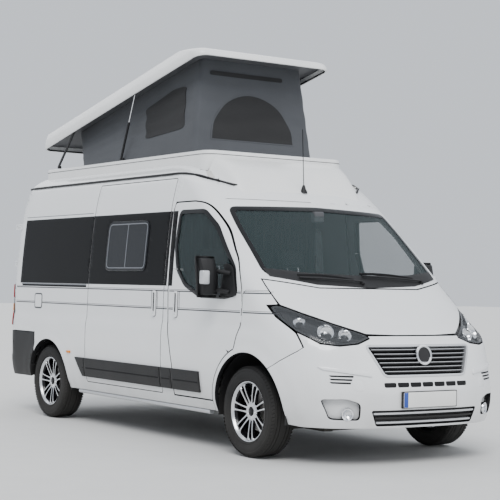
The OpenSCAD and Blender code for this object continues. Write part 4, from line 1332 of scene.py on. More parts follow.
    def windows(self) -> None:
        """Framed acrylic windows with their grey frame line and inner blind."""
        for k, (side,
                (y, length)) in enumerate(((-1, self.panes[0]), (1, self.panes[0]), (1, self.panes[1]))):
            outline = EDGES.side_pane(y, length)
            loops = [SHELL.trace(grown(outline, -0.0015), SHELL.side)]
            ring = [SHELL.trace(grown(outline, -0.022), SHELL.side),
                    SHELL.trace(grown(outline, -0.031), SHELL.side)]
            bar = [SHELL.trace([(y - 0.004, 1.452), (y + 0.006, 1.452), (y + 0.006, 1.852),
                                (y - 0.004, 1.852)],
                               SHELL.side)]
            if side < 0:
                loops, ring, bar = ([flipped(o) for o in group] for group in (loops, ring, bar))
            pane = SHELL.panel(f"acrylic_pane_{k}", loops, 0.02, lift=0.007, edge=0.005, finishes=(SMOKED,))
            line = SHELL.panel(f"pane_line_{k}", ring, 0.003, lift=0.0088, edge=0.0004, finishes=(PALE_LINE,))
            upright = SHELL.panel(f"pane_bar_{k}", bar, 0.003, lift=0.0088, edge=0.0004,
                                  finishes=(PALE_LINE,))
            deliver(pane, None)
            deliver(line, None)
            deliver(upright, None)
            x = 0.9 * side
            blind = brick(f"window_blind_{k}", (x - 0.006, FRONT_AXLE + y - 0.3, 1.47),
                          (x + 0.006, FRONT_AXLE + y - 0.09, 1.6), 0.003)
            deliver(blind, PALE_TRIM)
            block = brick(f"window_block_{k}", (x - 0.006, FRONT_AXLE + y + 0.1, 1.5),
                          (x + 0.006, FRONT_AXLE + y + 0.3, 1.8), 0.003)
            deliver(block, PALE_TRIM)
        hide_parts("side_windows")

    def gutter_rails(self) -> None:
        """Black rail along each edge of the roof, falling at its front."""
        line = [(4.28, 2.266), *[(y, 2.27) for y in np.linspace(4.15, 1.32, 24)], (1.2, 2.262), (1.05, 2.238),
                (0.92, 2.2), (0.8, 2.158), (0.73, 2.132)]
        points = [SHELL.place(SHELL.side(y, z), z, 0.008) for y, z in line]
        both(softened(rod("gutter_rail_left", points, 0.0105, 12), 0), GRAINED,
             (Body.ROOT, Body.ROOT))


def trace_open(points: Sequence[Pair], view: Callable[[float, float], float], step: float = 0.025) -> Outline:
    """Carries an open line in a view onto the skin.

    Args:
        points: Points on the line.
        view: The view's way onto the skin, such as SHELL.side.
        step: Longest piece left undivided.

    Returns:
        The line in (s, z).
    """
    traced: Outline = []
    for (a0, b0), (a1, b1) in zip(points, points[1:]):
        count = max(1, math.ceil(math.hypot(a1 - a0, b1 - b0) / step))
        traced += [(view(a0 + (a1 - a0) * i / count, b0 + (b1 - b0) * i / count), b0 + (b1 - b0) * i / count)
                   for i in range(count)]
    return [*traced, (view(*points[-1]), points[-1][1])]


def handle(side: int, y: float, body: Body, name: str) -> None:
    """Upright oval pull handle with a lock; its dark grey surround and black recess are painted shade round the
    grip and inside its slot.

    Args:
        side: 1 for the left side, -1 for the right.
        y: Place along the vehicle.
        body: Body that carries it.
        name: Its name.
    """
    outer = oblong(y, 1.153, 0.052, 0.22, 0.026)
    slot = oblong(y, 1.165, 0.03, 0.165, 0.015)
    keeper = oblong(y, 1.072, 0.016, 0.016, 0.008)
    # The surround ring and the recess piece are painted shade: the gap round the raised grip and the hollow seen
    # through its slot.
    for part, loops, finish, lift, thick in (("grip", [outer, slot], WHITE, 0.014, 0.018),
                                             ("surround", [grown(outer, 0.004), grown(outer, -0.002)], STRIPE,
                                              0.003, 0.005),
                                             ("recess", [grown(slot, 0.002)], GLOSS_BLACK, 0.008, 0.01),
                                             ("lock", [keeper], CHROME, 0.0155, 0.006)):
        traced = [SHELL.trace(loop, SHELL.side, 0.01) for loop in loops]
        if side < 0:
            traced = [flipped(loop) for loop in traced]
        piece = SHELL.panel(f"{name}_{part}", traced, thick, step=0.02, lift=lift,
                            edge=0.006 if part == "grip" else 0.001,
                            finishes=(finish,))
        deliver(piece, None, body)


@dataclass
class FrontDoors:
    """Front doors with their glass, frames, handles and mirrors."""

    depth: float = 0.05
    housing: tuple[float, float, float] = (1.13, 0.43, 1.385)

    def build(self) -> None:
        """Builds both doors."""
        for side, word, body in ((1, "left", Body.DOOR_LEFT), (-1, "right", Body.DOOR_RIGHT)):
            turn = (lambda o: o) if side > 0 else flipped
            skin = turn(SHELL.trace(grown(EDGES.front_door(), -GAP), SHELL.side))
            pane = turn(SHELL.trace(EDGES.front_window(), SHELL.side))
            door = SHELL.panel(f"door_skin_{word}", [skin, pane], self.depth)
            deliver(door, None, body, [f"front_door_{word}"])
            glass = SHELL.panel(f"door_pane_{word}",
                                [turn(SHELL.trace(grown(EDGES.front_window(), -0.001), SHELL.side))],
                                0.005, lift=-0.008, edge=0, finishes=(GLASS,))
            deliver(glass, None, body, [f"door_glass_{word}"])
            frame_loops = [turn(SHELL.trace(grown(EDGES.front_window(), d), SHELL.side)) for d in (0.022,
                                                                                                   -0.012)]
            trim = SHELL.panel(f"door_pane_frame_{word}", frame_loops, 0.012, lift=0.002, edge=0.001,
                               finishes=(GLOSS_BLACK,))
            deliver(trim, None, body)
            foot = fillet([(0.17, 1.24), (0.4, 1.228), (0.36, 1.5), (0.25, 1.47)], 0.03)
            patch = SHELL.panel(f"mirror_base_{word}", [turn(SHELL.trace(foot, SHELL.side))], 0.022,
                                lift=0.014,
                                edge=0.006, finishes=(GRAINED,))
            deliver(patch, None, body)
            handle(side, 1.085, body, f"door_handle_{word}")
        self.mirrors()
        self.hinges()

    def mirrors(self) -> None:
        """Two-arm mirrors with a tall housing, a lower wide-angle glass and an indicator."""
        x, y, z = self.housing
        y += FRONT_AXLE
        shell = brick("mirror_housing_left", (x - 0.088, y - 0.092, z - 0.165),
                      (x + 0.088, y + 0.032, z + 0.165), 0)
        only(shell)
        bpy.ops.object.mode_set(mode="EDIT")
        bpy.ops.mesh.select_all(action="SELECT")
        bpy.ops.mesh.subdivide(number_cuts=3)
        bpy.ops.object.mode_set(mode="OBJECT")
        for v in shell.data.vertices:
            across, tall = (v.co.x - x) / 0.088, (v.co.z - z) / 0.158
            if v.co.y < y - 0.03:
                v.co.y += 0.03 * (across ** 2 + tall ** 2)
                v.co.x -= 0.018 * across
                v.co.z -= 0.02 * tall
            v.co.x += 0.012 * tall
        worked(shell, "BEVEL", width=0.022, segments=4, limit_method="ANGLE", angle_limit=math.radians(50))
        softened(shell, 0, angle=50)
        both(shell, GRAINED, (Body.DOOR_LEFT, Body.DOOR_RIGHT), ["mirror_left"])
        for part, (low, high) in (("upper", (-0.05, 0.14)), ("lower", (-0.14, -0.062))):
            outline = fillet([(x - 0.07, z + low), (x + 0.072, z + low), (x + 0.072, z + high),
                              (x - 0.07, z + high)], 0.02)
            glass = slab(f"mirror_glass_{part}_left", [(px, y + 0.028, pz) for px, pz in outline],
                         (0, 0.005, 0))
            both(softened(glass, 0.001), CHROME, (Body.DOOR_LEFT, Body.DOOR_RIGHT))
        for k, rise in enumerate((-0.1, 0.05)):
            inner = SHELL.place(SHELL.side(0.27, z + rise - 0.02), z + rise - 0.02, 0.004)
            path = [inner,
                    inner.lerp(Vector((x - 0.06, y - 0.01, z + rise)), 0.5) + Vector((0.01, -0.012, 0)),
                    Vector((x - 0.06, y - 0.012, z + rise))]
            arm = softened(rod(f"mirror_arm_{k}_left", path, 0.024, 14, 0.75), 0)
            both(arm, GRAINED, (Body.DOOR_LEFT, Body.DOOR_RIGHT))
        lens = brick("mirror_indicator_left", (x + 0.02, y - 0.09, z - 0.06), (x + 0.09, y - 0.03, z + 0.05),
                     0.014, 4)
        both(lens, SILVER, (Body.DOOR_LEFT, Body.DOOR_RIGHT))

    def hinges(self) -> None:
        """Small hinge barrels ahead of the front doors."""
        for k, z in enumerate((1.06, 1.17)):
            for j, (low, high, bodies) in enumerate(((-0.026, -0.0125, (Body.ROOT, Body.ROOT)),
                                                     (-0.012, 0.012, (Body.DOOR_LEFT, Body.DOOR_RIGHT)),
                                                     (0.0125, 0.026, (Body.ROOT, Body.ROOT)))):
                pin = lathed(f"hinge_{k}{j}_left", [(0, low), (0.0035, low), (0.005, low + 0.0015),
                                                    (0.005, high - 0.0015), (0.0035, high), (0, high)], 20,
                                                    "Z")
                moved(pin, Matrix.Translation((1.0185, FRONT_AXLE + 0.095, z)))
                both(pin, WHITE, bodies)


@dataclass
class Nose:
    """Bonnet, wings, bumper, grille, headlamps, windscreen, wipers and number plate."""

    depth: float = 0.035
    bar_count: int = 6

    def build(self) -> None:
        """Builds the front."""
        self.cab()
        self.bonnet()
        self.wings()
        self.bumper()
        self.grille()
        self.headlamps()
        self.screen()
        self.wipers()

    def whole(self, half: Outline) -> Outline:
        """Closes a left half outline with its mirror image."""
        return [*half, *[(-s, z) for s, z in half[::-1] if abs(s) > 1e-6]]

    def cab(self) -> None:
        """Pillars, scuttle and header round the windscreen and over the doors."""
        scuttle = trace_open([(0.0, 1.317), (0.5, 1.317), (0.7, 1.348), (0.912, 1.38), (0.912, 1.287)],
                             SHELL.front)
        foot = trace_open([(0.055, 1.287), (0.0925, 1.26)], SHELL.side)
        along = trace_open([(0.0925, 1.255),
                            *eased([(0.0925, 1.18), (0.118, 1.333), (0.205, 1.504), (0.294, 1.61),
                                                     (0.43, 1.756), (0.556, 1.861), (0.692, 1.957),
                                                     (0.798, 2.003),
                                                     (0.93, 2.0205)]),
                            (1.262, 2.0205), (1.262, EDGES.gutter), (1.15, 2.254), (0.9, 2.19), (0.64, 2.09),
                            (0.48, 2.03)], SHELL.side)
        header = trace_open([(0.8, 2.03), (0.0, 2.03)], SHELL.front)
        outline = [*scuttle, *foot, *along, *header]
        hole = SHELL.trace(EDGES.screen(), SHELL.front)
        cab = SHELL.panel("cab_shell", [self.whole(outline), hole], 0.04)
        deliver(cab, None, Body.ROOT, ["cab_frame"])

    def bonnet(self) -> None:
        """Bonnet skin, traced from the front view."""
        piece = SHELL.panel("bonnet_skin", [SHELL.trace(grown(EDGES.bonnet(), -0.002), SHELL.front)], 0.022,
                            step=0.03)
        deliver(piece, None, Body.HOOD, ["bonnet"])

    def wings(self) -> None:
        """Front wings with the trim behind their wheels, and arch liners."""
        lamp_side = trace_open([(0.925, 0.975), (0.964, 1.085), (0.971, 1.178), (0.9125, 1.185),
                                (0.9125, 1.284)],
                               SHELL.front)
        door_side = trace_open([(0.055, 1.284), (0.0905, 1.25), (0.0905, 1.18), (0.104, 1.008),
                                (0.163, 0.828)],
                               SHELL.side)
        rim = trace_open([*arc((0.0, HUB_HEIGHT), FRONT_ARCH + 0.04, 69.5, -4, 24), (0.455, EDGES.sill),
                          *arc((0.0, HUB_HEIGHT), FRONT_ARCH, -4.5, 130, 44), (-0.45, 0.79), (-0.545, 0.845),
                          (-0.575, 0.87)], SHELL.side)
        loop = [*lamp_side, *door_side, *rim]
        for side, word in ((1, "left"), (-1, "right")):
            piece = SHELL.panel(f"wing_{word}", [loop if side > 0 else flipped(loop)], self.depth, step=0.035)
            deliver(piece, None, Body.ROOT, ["front_wings"] if side > 0 else [])
        for axle, radius, word in ((FRONT_AXLE, FRONT_ARCH, "front"), (REAR_AXLE, REAR_ARCH, "rear")):
            points, faces = [], []
            angles = [math.radians(-8 + 196 * i / 40) for i in range(41)]
            for a in angles:
                for x, r in ((0.62, radius - 0.004), (0.975, radius - 0.004), (0.975, radius + 0.008),
                             (0.62, radius + 0.008)):
                    points.append((x, axle + r * math.cos(a), HUB_HEIGHT + r * math.sin(a)))
            for i in range(40):
                faces += [(4 * i + k, 4 * i + (k + 1) % 4, 4 * i + 4 + (k + 1) % 4,
                           4 * i + 4 + k) for k in range(4)]
            faces += [(0, 1, 2, 3), (160, 163, 162, 161)]
            liner = outward(fresh(f"liner_{word}_left", points, faces))
            both(softened(liner, 0), GRAINED, (Body.ROOT, Body.ROOT))

    def bumper(self) -> None:
        """Bumper skin with its openings, fog lamps, slots, lip and plate."""
        under = trace_open([(0.0, 0.285), (0.9, 0.285)], SHELL.front)
        up = trace_open([*arc((0.0, HUB_HEIGHT), FRONT_ARCH, 187, 130.6, 18), (-0.45, 0.783), (-0.545, 0.838),
                         (-0.585, 0.872)], SHELL.side)
        lamp = trace_open([(0.915, 0.975), (0.82, 0.897), (0.7, 0.882), (0.56, 0.897), (0.441, 0.94),
                           (0.446, 0.958), (0.0, 0.958)], SHELL.front)
        holes = [SHELL.trace(EDGES.grille(), SHELL.front), SHELL.trace(EDGES.intake(), SHELL.front)]
        fog = fillet([(0.6, 0.345), (0.8, 0.35), (0.86, 0.5), (0.7, 0.505), (0.6, 0.47)], 0.03)
        holes += [SHELL.trace(fog, SHELL.front), flipped(SHELL.trace(fog, SHELL.front))]
        skin = SHELL.panel("bumper_skin", [self.whole([*under, *up, *lamp]), *holes], self.depth, step=0.035)
        deliver(skin, None, Body.ROOT, ["front_bumper"])
        for side, word in ((1, "left"), (-1, "right")):
            turn = (lambda o: o) if side > 0 else flipped
            bowl = SHELL.panel(f"fog_bowl_{word}", [turn(SHELL.trace(grown(fog, 0.01), SHELL.front))], 0.008,
                               lift=-0.05,
                               edge=0.002, finishes=(WHITE,))
            deliver(bowl, None)
            # Three dark slats per side, laid flat on the skin: painted shade for the dark inside of the intake
            # slots.
            for k in range(3):
                z = 0.612 + 0.024 * k
                inner = 0.665 - 0.012 * k
                slat = SHELL.panel(f"side_intake_{word}_{k}", [turn(SHELL.trace(fillet(
                    [(inner, z), (0.79, z + 0.004), (0.8, z + 0.016), (inner - 0.004, z + 0.013)], 0.004),
                    SHELL.front))], 0.006, lift=0.0015, edge=0.0005, finishes=(SEAL_AND_SHADE,))
                deliver(slat, None)
            brow = SHELL.panel(f"bumper_brow_{word}", [turn(SHELL.trace(fillet(
                [(0.5, 0.665), (0.83, 0.715), (0.86, 0.74), (0.5, 0.7)], 0.012), SHELL.front))], 0.02,
                lift=0.01,
                edge=0.008, finishes=(WHITE,))
            deliver(brow, None)
            lamp_at = SHELL.place(side * SHELL.front(0.69, 0.39), 0.39, -0.02)
            for part, profile, finish in (("ring",
                                           [(0.034, 0.012), (0.045, 0.016), (0.05, 0.006), (0.05, -0.02),
                                                    (0.034, -0.02)], CHROME),
                                          ("glass",
                                           [(0, 0.012), (0.02, 0.0105), (0.036, 0.004), (0.036, 0), (0, 0)],
                                           LENS),
                                           ("bowl",
                                            [(0, -0.02), (0.02, -0.015), (0.036, -0.001), (0.036, -0.024),
                                                            (0, -0.024)], CHROME)):
                closed = profile if profile[0][0] == 0 else [*profile, profile[0]]
                disc = lathed(f"fog_{part}_{word}", closed, 32, "Y")
                moved(disc, Matrix.Translation(lamp_at) @ Matrix.Rotation(math.radians(28 * side), 4, "Z")
                      @ Matrix.Scale(-1, 4, (0, 1, 0)))
                deliver(softened(disc, 0), finish)
            cover = SHELL.panel(f"tow_cover_{word}",
                                [turn(SHELL.trace(oblong(0.615, 0.6, 0.075, 0.075, 0.012),
                                                                        SHELL.front))], 0.004, lift=0.0012,
                                                                        edge=0.001,
                                finishes=(WHITE,))
            deliver(cover, None)
        for k in range(7):
            x = (k - 3) * 0.118
            slot = fillet([(x - 0.05, 0.585), (x + 0.05, 0.585), (x + 0.054, 0.62), (x - 0.054, 0.62)], 0.012)
            piece = SHELL.panel(f"bumper_slot_{k}", [SHELL.trace(slot, SHELL.front)], 0.006, lift=0.0015,
                                edge=0.0005,
                                finishes=(SEAL_AND_SHADE,))
            deliver(piece, None)
        nose = SHELL.place(0, 0.49).y
        mount = brick("plate_holder", (-0.27, nose - 0.016, 0.43), (0.27, nose + 0.004, 0.555), 0.004)
        deliver(mount, GRAINED)
        outline = oblong(0, 0.492, 0.52, 0.113, 0.01)
        plate = slab("number_plate", [(x, nose - 0.016, z) for x, z in outline], (0, -0.002, 0))
        deliver(softened(plate, 0.0006), PLATE)
        strip = brick("plate_strip", (-0.258, nose - 0.0188, 0.437), (-0.218, nose - 0.0175, 0.547), 0.0004)
        deliver(strip, BLUE)

    def grille(self) -> None:
        """Grille with its bars, surround, plain ring badge and lower grille."""
        back = SHELL.panel("grille_back", [SHELL.trace(grown(EDGES.grille(), -0.001), SHELL.front)], 0.006,
                           lift=-0.03,
                           edge=0.001, finishes=(SEAL_AND_SHADE,))
        deliver(back, None, Body.ROOT, ["grille"])
        ring = SHELL.panel("grille_surround", [SHELL.trace(grown(EDGES.grille(), 0.01), SHELL.front),
                                               SHELL.trace(grown(EDGES.grille(), -0.005), SHELL.front)],
                                               0.035,
                           lift=0.006, edge=0.004, finishes=(SILVER,))
        deliver(ring, None)
        for k in range(self.bar_count):
            z = 0.69 + k * 0.032
            half = 0.391 + 0.115 * (z - 0.671) / 0.218 - 0.018
            for part, low, high, lift, finish in (("bar", z, z + 0.014, -0.004, GLOSS_BLACK),
                                                  ("edge", z + 0.0105, z + 0.0145, 0.0, SILVER)):
                strip = SHELL.panel(f"grille_{part}_{k}",
                                    [SHELL.trace([(-half, low), (half, low), (half, high),
                                                                         (-half, high)], SHELL.front)], 0.022,
                                    lift=lift, edge=0.0015, finishes=(finish,))
                deliver(strip, None)
        centre = SHELL.place(0, 0.82, 0.004)
        for name, profile, finish in (("badge_ring",
                                       [(0.058, 0.0), (0.06, 0.009), (0.068, 0.012), (0.076, 0.009),
                                                       (0.078, 0.0), (0.058, 0.0)], CHROME),
                                      ("badge_disc",
                                       [(0, 0.004), (0.03, 0.0045), (0.0575, 0.003), (0.0575, -0.01),
                                        (0, -0.01)],
                                       GLOSS_BLACK)):
            disc = lathed(name, profile, 40, "Y")
            moved(disc, Matrix.Translation(centre) @ Matrix.Rotation(math.radians(-9), 4, "X")
                  @ Matrix.Scale(-1, 4, (0, 1, 0)))
            deliver(softened(disc, 0), finish)
        back = SHELL.panel("intake_back", [SHELL.trace(grown(EDGES.intake(), -0.001), SHELL.front)], 0.006,
                           lift=-0.03,
                           edge=0.001, finishes=(GRAINED,))
        deliver(back, None)
        for k, (z, finish) in enumerate(((0.318, SILVER), (0.352, GRAINED), (0.386, SILVER))):
            half = 0.46 + 0.05 * (z - 0.3) / 0.118
            strip = SHELL.panel(f"intake_bar_{k}", [SHELL.trace([(-half, z), (half, z), (half, z + 0.014),
                                                                  (-half, z + 0.014)], SHELL.front)], 0.025,
                                lift=-0.004, edge=0.003, finishes=(finish,))
            deliver(strip, None)

    def headlamps(self) -> None:
        """Swept headlamps: clear lens, dark bezel and rim, and three bowls with their bulbs."""
        outline = EDGES.lamp()
        for side, word in ((1, "left"), (-1, "right")):
            turn = (lambda o: o) if side > 0 else flipped
            lens = SHELL.panel(f"lamp_lens_{word}", [turn(SHELL.trace(grown(outline, -0.003), SHELL.front))],
                               0.003,
                               step=0.03, edge=0.0, finishes=(LENS,))
            deliver(lens, None, Body.ROOT, ["headlamps"] if side > 0 else [])
            back = SHELL.panel(f"lamp_bezel_{word}", [turn(SHELL.trace(grown(outline, -0.004), SHELL.front))],
                               0.006,
                               step=0.03, lift=-0.05, edge=0.001, finishes=(GLOSS_BLACK,))
            deliver(back, None)
            rim = SHELL.panel(f"lamp_rim_{word}", [turn(SHELL.trace(grown(outline, d), SHELL.front))
                                                   for d in (-0.0035, -0.016)], 0.045, step=0.03, lift=-0.005,
                              edge=0.001, finishes=(GLOSS_BLACK,))
            deliver(rim, None)
            bowls = ((0.62, 0.965, 0.05), (0.745, 0.985, 0.062), (0.865, 1.055, 0.045))
            for k, (x, z, radius) in enumerate(bowls):
                at = SHELL.place(side * SHELL.front(x, z), z, -0.012)
                bowl = lathed(f"lamp_bowl_{word}_{k}",
                              [(radius, 0.0), (radius * 0.93, -0.01), (radius * 0.6, -0.03),
                                                        (radius * 0.28, -0.037), (0, -0.038), (0, -0.044),
                                                        (radius * 0.9, -0.03), (radius * 1.05, -0.004),
                                                        (radius, 0.0)], 32, "Y")
                turned = Matrix.Rotation(math.radians((12, 22, 40)[k] * side), 4, "Z")
                moved(bowl, Matrix.Translation(at) @ turned @ Matrix.Rotation(math.radians(-25), 4, "X")
                      @ Matrix.Scale(-1, 4, (0, 1, 0)))
                deliver(softened(bowl, 0), CHROME)
                bulb = lathed(f"lamp_bulb_{word}_{k}", [(0, -0.002), (0.012, -0.006), (0.016, -0.018),
                                                        (0.016, -0.034), (0, -0.034)], 20, "Y")
                moved(bulb, Matrix.Translation(at) @ turned @ Matrix.Rotation(math.radians(-25), 4, "X")
                      @ Matrix.Scale(-1, 4, (0, 1, 0)))
                deliver(softened(bulb, 0), CHROME if k == 1 else LENS)

    def screen(self) -> None:
        """Windscreen, its black border and the sensor box."""
        outline = EDGES.screen()
        glass = SHELL.panel("screen_glass", [SHELL.trace(grown(outline, -0.001), SHELL.front)], 0.006,
                            lift=-0.002,
                            edge=0.0, finishes=(GLASS,))
        deliver(glass, None, Body.ROOT, ["windscreen"])
        border = SHELL.panel("screen_border", [SHELL.trace(grown(outline, 0.004), SHELL.front),
                                               SHELL.trace(grown(outline, -0.032), SHELL.front)], 0.009,
                                               lift=0.001,
                             edge=0.001, finishes=(GLOSS_BLACK,))
        deliver(border, None)
        low = [(0.84, 1.398), (0.5, 1.338), (0.0, 1.316), (-0.5, 1.338), (-0.84, 1.398)]
        high = [(-0.855, 1.46), (-0.5, 1.425), (0.0, 1.412), (0.5, 1.425), (0.855, 1.46)]
        cowl = SHELL.panel("cowl_grille", [SHELL.trace([*low, *high], SHELL.front)], 0.02, lift=0.006,
                           edge=0.003,
                           finishes=(GRAINED,))
        deliver(cowl, None)
        at = SHELL.place(0, 1.9, -0.03)
        box = brick("sensor_box", (-0.05, at.y - 0.005, 1.86), (0.05, at.y + 0.06, 1.95), 0.012, 3)
        deliver(box, TRIM)

    def wipers(self) -> None:
        """Two wipers resting low on the windscreen."""
        first = None
        for k, (x, length, z0) in enumerate(((0.6, 0.62, 1.375), (-0.06, 0.56, 1.357))):
            line = [(x - length * t, z0 + 0.028 * t) for t in (0, 0.1, 0.33, 0.66, 1.0)]
            points = [SHELL.place(SHELL.front(px, z), z, 0.018 + 0.008 * math.sin(math.pi * i / 4))
                      for i, (px, z) in enumerate(line)]
            arm = softened(rod(f"wiper_arm_{k}", points, 0.009, 10, 0.7), 0)
            first = first or deliver(arm, GRAINED, Body.ROOT, ["wipers"])
            if first is not arm:
                deliver(arm, GRAINED)
            blade_line = [(x - length * (0.12 + 0.88 * t),
                           z0 + 0.02 + 0.03 * t + 0.012 * math.sin(math.pi * t))
                          for t in np.linspace(0, 1, 9)]
            blade = rod(f"wiper_blade_{k}",
                        [SHELL.place(SHELL.front(px, z), z, 0.008) for px, z in blade_line],
                        0.006, 8, 1.6)
            deliver(softened(blade, 0), SEAL_AND_SHADE)
            pivot = lathed(f"wiper_pivot_{k}",
                           [(0, 0.03), (0.012, 0.028), (0.018, 0.018), (0.018, 0), (0, 0)], 24, "Z")
            moved(pivot,
                  Matrix.Translation(points[0] - Vector((0, 0, 0.02))) @ Matrix.Rotation(math.radians(50), 4,
                                                                                         "X"))
            deliver(softened(pivot, 0), GRAINED)


@dataclass
class Tail:
    """Rear doors with their windows, plate, hinges and handle, and the rear bumper and lamps."""

    depth: float = 0.05
    hinge_heights: tuple[float, ...] = (0.98, 1.5, 1.88)
    hinge: Pair = (0.93, 2.6965)

    def build(self) -> None:
        """Builds the back."""
        for side, word, body in ((1, "left", Body.LEAF_LEFT), (-1, "right", Body.LEAF_RIGHT)):
            turn = (lambda o: o) if side > 0 else flipped
            loops = [SHELL.trace(EDGES.rear_door(), SHELL.rear), SHELL.trace(EDGES.rear_pane(), SHELL.rear)]
            door = SHELL.panel(f"leaf_skin_{word}", [turn(o) for o in loops], self.depth)
            deliver(door, None, body, [f"rear_door_{word}"])
            pane = SHELL.panel(f"leaf_pane_{word}",
                               [turn(SHELL.trace(grown(EDGES.rear_pane(), -0.0015), SHELL.rear))],
                               0.02, lift=0.007, edge=0.005, finishes=(SMOKED,))
            deliver(pane, None, body, [f"rear_window_{word}"])
            line = SHELL.panel(f"leaf_pane_line_{word}",
                               [turn(SHELL.trace(grown(EDGES.rear_pane(), d), SHELL.rear))
                                                          for d in (-0.022, -0.031)], 0.003, lift=0.0088,
                               edge=0.0004, finishes=(PALE_LINE,))
            deliver(line, None, body)
            for k, (low, high) in enumerate(((0.905, 0.911), (1.31, 1.316), (2.02, 2.026))):
                crease = SHELL.panel(f"leaf_crease_{word}_{k}", [turn(SHELL.trace(
                    [(0.03, low), (0.82, low), (0.82, high), (0.03, high)], SHELL.rear))], 0.004, lift=0.0016,
                    edge=0.001, finishes=(WHITE,))
                deliver(crease, None, body)
            self.hinges(side, word, body)
        self.fittings()
        self.bumper()
        self.lamps()

    def hinges(self, side: int, word: str, body: Body) -> None:
        """Exposed hinges at the corner: one barrel and leaf on the door, two on the body.

        Args:
            side: 1 for the left side, -1 for the right.
            word: Word for the side in its name.
            body: Body that carries it.
        """
        x, y = self.hinge
        for k, z in enumerate(self.hinge_heights):
            for j, (low, high, on) in enumerate(((-0.028, -0.0145, Body.ROOT), (-0.014, 0.014, body),
                                                 (0.0145, 0.028, Body.ROOT))):
                pin = lathed(f"leaf_hinge_{word}_{k}{j}", [(0, low), (0.0035, low), (0.005, low + 0.002),
                                                           (0.005, high - 0.002), (0.0035, high), (0, high)],
                                                           20, "Z")
                moved(pin, Matrix.Translation((side * x, y, z)))
                deliver(pin, WHITE, on)
            plate = brick(f"leaf_strap_{word}_{k}", (min(side * (x - 0.067), side * x), y - 0.003, z - 0.013),
                          (max(side * (x - 0.067), side * x), y + 0.0028, z + 0.013), 0.0012)
            deliver(plate, WHITE, body)
            knee = brick(f"leaf_knee_{word}_{k}",
                         (min(side * (x - 0.071), side * (x - 0.064)), y - 0.075, z - 0.013),
                         (max(side * (x - 0.071), side * (x - 0.064)), y + 0.0028, z + 0.013), 0.0012)
            deliver(knee, WHITE, body)
            for j, (low, high) in enumerate(((-0.028, -0.0145), (0.0145, 0.028))):
                leaf = brick(f"leaf_bracket_{word}_{k}{j}", (side * x - 0.0038, y - 0.135, z + low),
                             (side * x + 0.0038, y, z + high), 0.001)
                deliver(leaf, WHITE)

    def fittings(self) -> None:
        """Handle, number plate on its holder with its lamp, and the high stop lamp."""
        face = REAR_END - 0.025
        grip = brick("leaf_handle", (-0.11, face - 0.006, 1.02), (-0.012, face + 0.02, 1.09), 0.012, 4)
        deliver(grip, GRAINED, Body.LEAF_RIGHT)
        plate = slab("rear_plate", [(x, face + 0.003, z) for x, z in oblong(0.42, 0.74, 0.52, 0.113, 0.01)],
                     (0, 0.003, 0))
        deliver(softened(plate, 0.0006), PLATE, Body.LEAF_LEFT)
        holder = brick("rear_plate_holder", (0.15, face - 0.004, 0.675), (0.69, face + 0.004, 0.805), 0.003)
        deliver(holder, GRAINED, Body.LEAF_LEFT)
        lamp = brick("plate_lamp", (0.33, face - 0.004, 0.825), (0.51, face + 0.022, 0.852), 0.008, 3)
        deliver(lamp, GRAINED, Body.LEAF_LEFT)
        high = brick("stop_lamp", (-0.11, REAR_END - 0.075, 2.212), (0.11, REAR_END - 0.05, 2.236), 0.006, 3)
        deliver(high, RED_LENS)

    def bumper(self) -> None:
        """Black bumper with its corners and step."""
        front = trace_open([(3.753, 0.815), (3.753, 0.6395),
                            *arc((3.45, HUB_HEIGHT), REAR_ARCH + 0.006, 42, 3, 12)],
                           SHELL.side)
        under = trace_open([(0.85, 0.366), (0.0, 0.366)], SHELL.rear)
        top = trace_open([(0.0, 0.548), (0.806, 0.548), (0.806, 0.815)], SHELL.rear)
        for side, word in ((1, "left"), (-1, "right")):
            loop = [*front, *under, *top]
            piece = SHELL.panel(f"bumper_rear_{word}", [loop if side > 0 else flipped(loop)], 0.05,
                                lift=0.004, edge=0.008,
                                finishes=(GRAINED,))
            deliver(piece, None, Body.ROOT, ["rear_bumper"] if side > 0 else [])
            reflector = SHELL.panel(f"reflector_{word}",
                                    [SHELL.trace(oblong(side * 0.7, 0.46, 0.11, 0.03, 0.01),
                                                                       SHELL.rear)], 0.005, lift=0.0075,
                                                                       edge=0.001,
                                    finishes=(RED_LENS,))
            deliver(reflector, None)
        ledge = SHELL.panel("bumper_tread",
                            [SHELL.trace([(0.6, 0.53), (0.0, 0.53), (0.0, 0.544), (0.6, 0.544)],
                                                          SHELL.rear)], 0.02, lift=0.006, edge=0.002,
                                                          finishes=(TRIM,))
        deliver(ledge, None)

    def lamps(self) -> None:
        """Upright tail lamps round the corners, with their three chambers."""
        for side, word in ((1, "left"), (-1, "right")):
            turn = (lambda o: o) if side > 0 else flipped
            for k, (low, high,
                    finish) in enumerate(((0.872, 1.01, RED_LENS), (1.014, 1.09, AMBER), (1.094, 1.15, LENS),
                                                     (1.154, 1.285, RED_LENS))):
                loop = [(SHELL.rear(0.95, low), low), (SHELL.side(4.34, low), low),
                        (SHELL.side(4.345, high), high),
                        (SHELL.rear(0.95, high), high)]
                lens = SHELL.panel(f"tail_lens_{word}_{k}", [turn(densified(loop))], 0.02, lift=0.012,
                                   edge=0.004,
                                   step=0.03, finishes=(finish,))
                deliver(lens, None, Body.ROOT, ["tail_lamps"] if side > 0 and k == 0 else [])
            loop = [(SHELL.rear(0.945, 0.866), 0.866), (SHELL.side(4.325, 0.866), 0.866),
                    (SHELL.side(4.33, 1.291), 1.291), (SHELL.rear(0.945, 1.291), 1.291)]
            base = SHELL.panel(f"tail_base_{word}", [turn(densified(loop))], 0.02, lift=0.004, edge=0.002,
                               finishes=(GRAINED,))
            deliver(base, None)


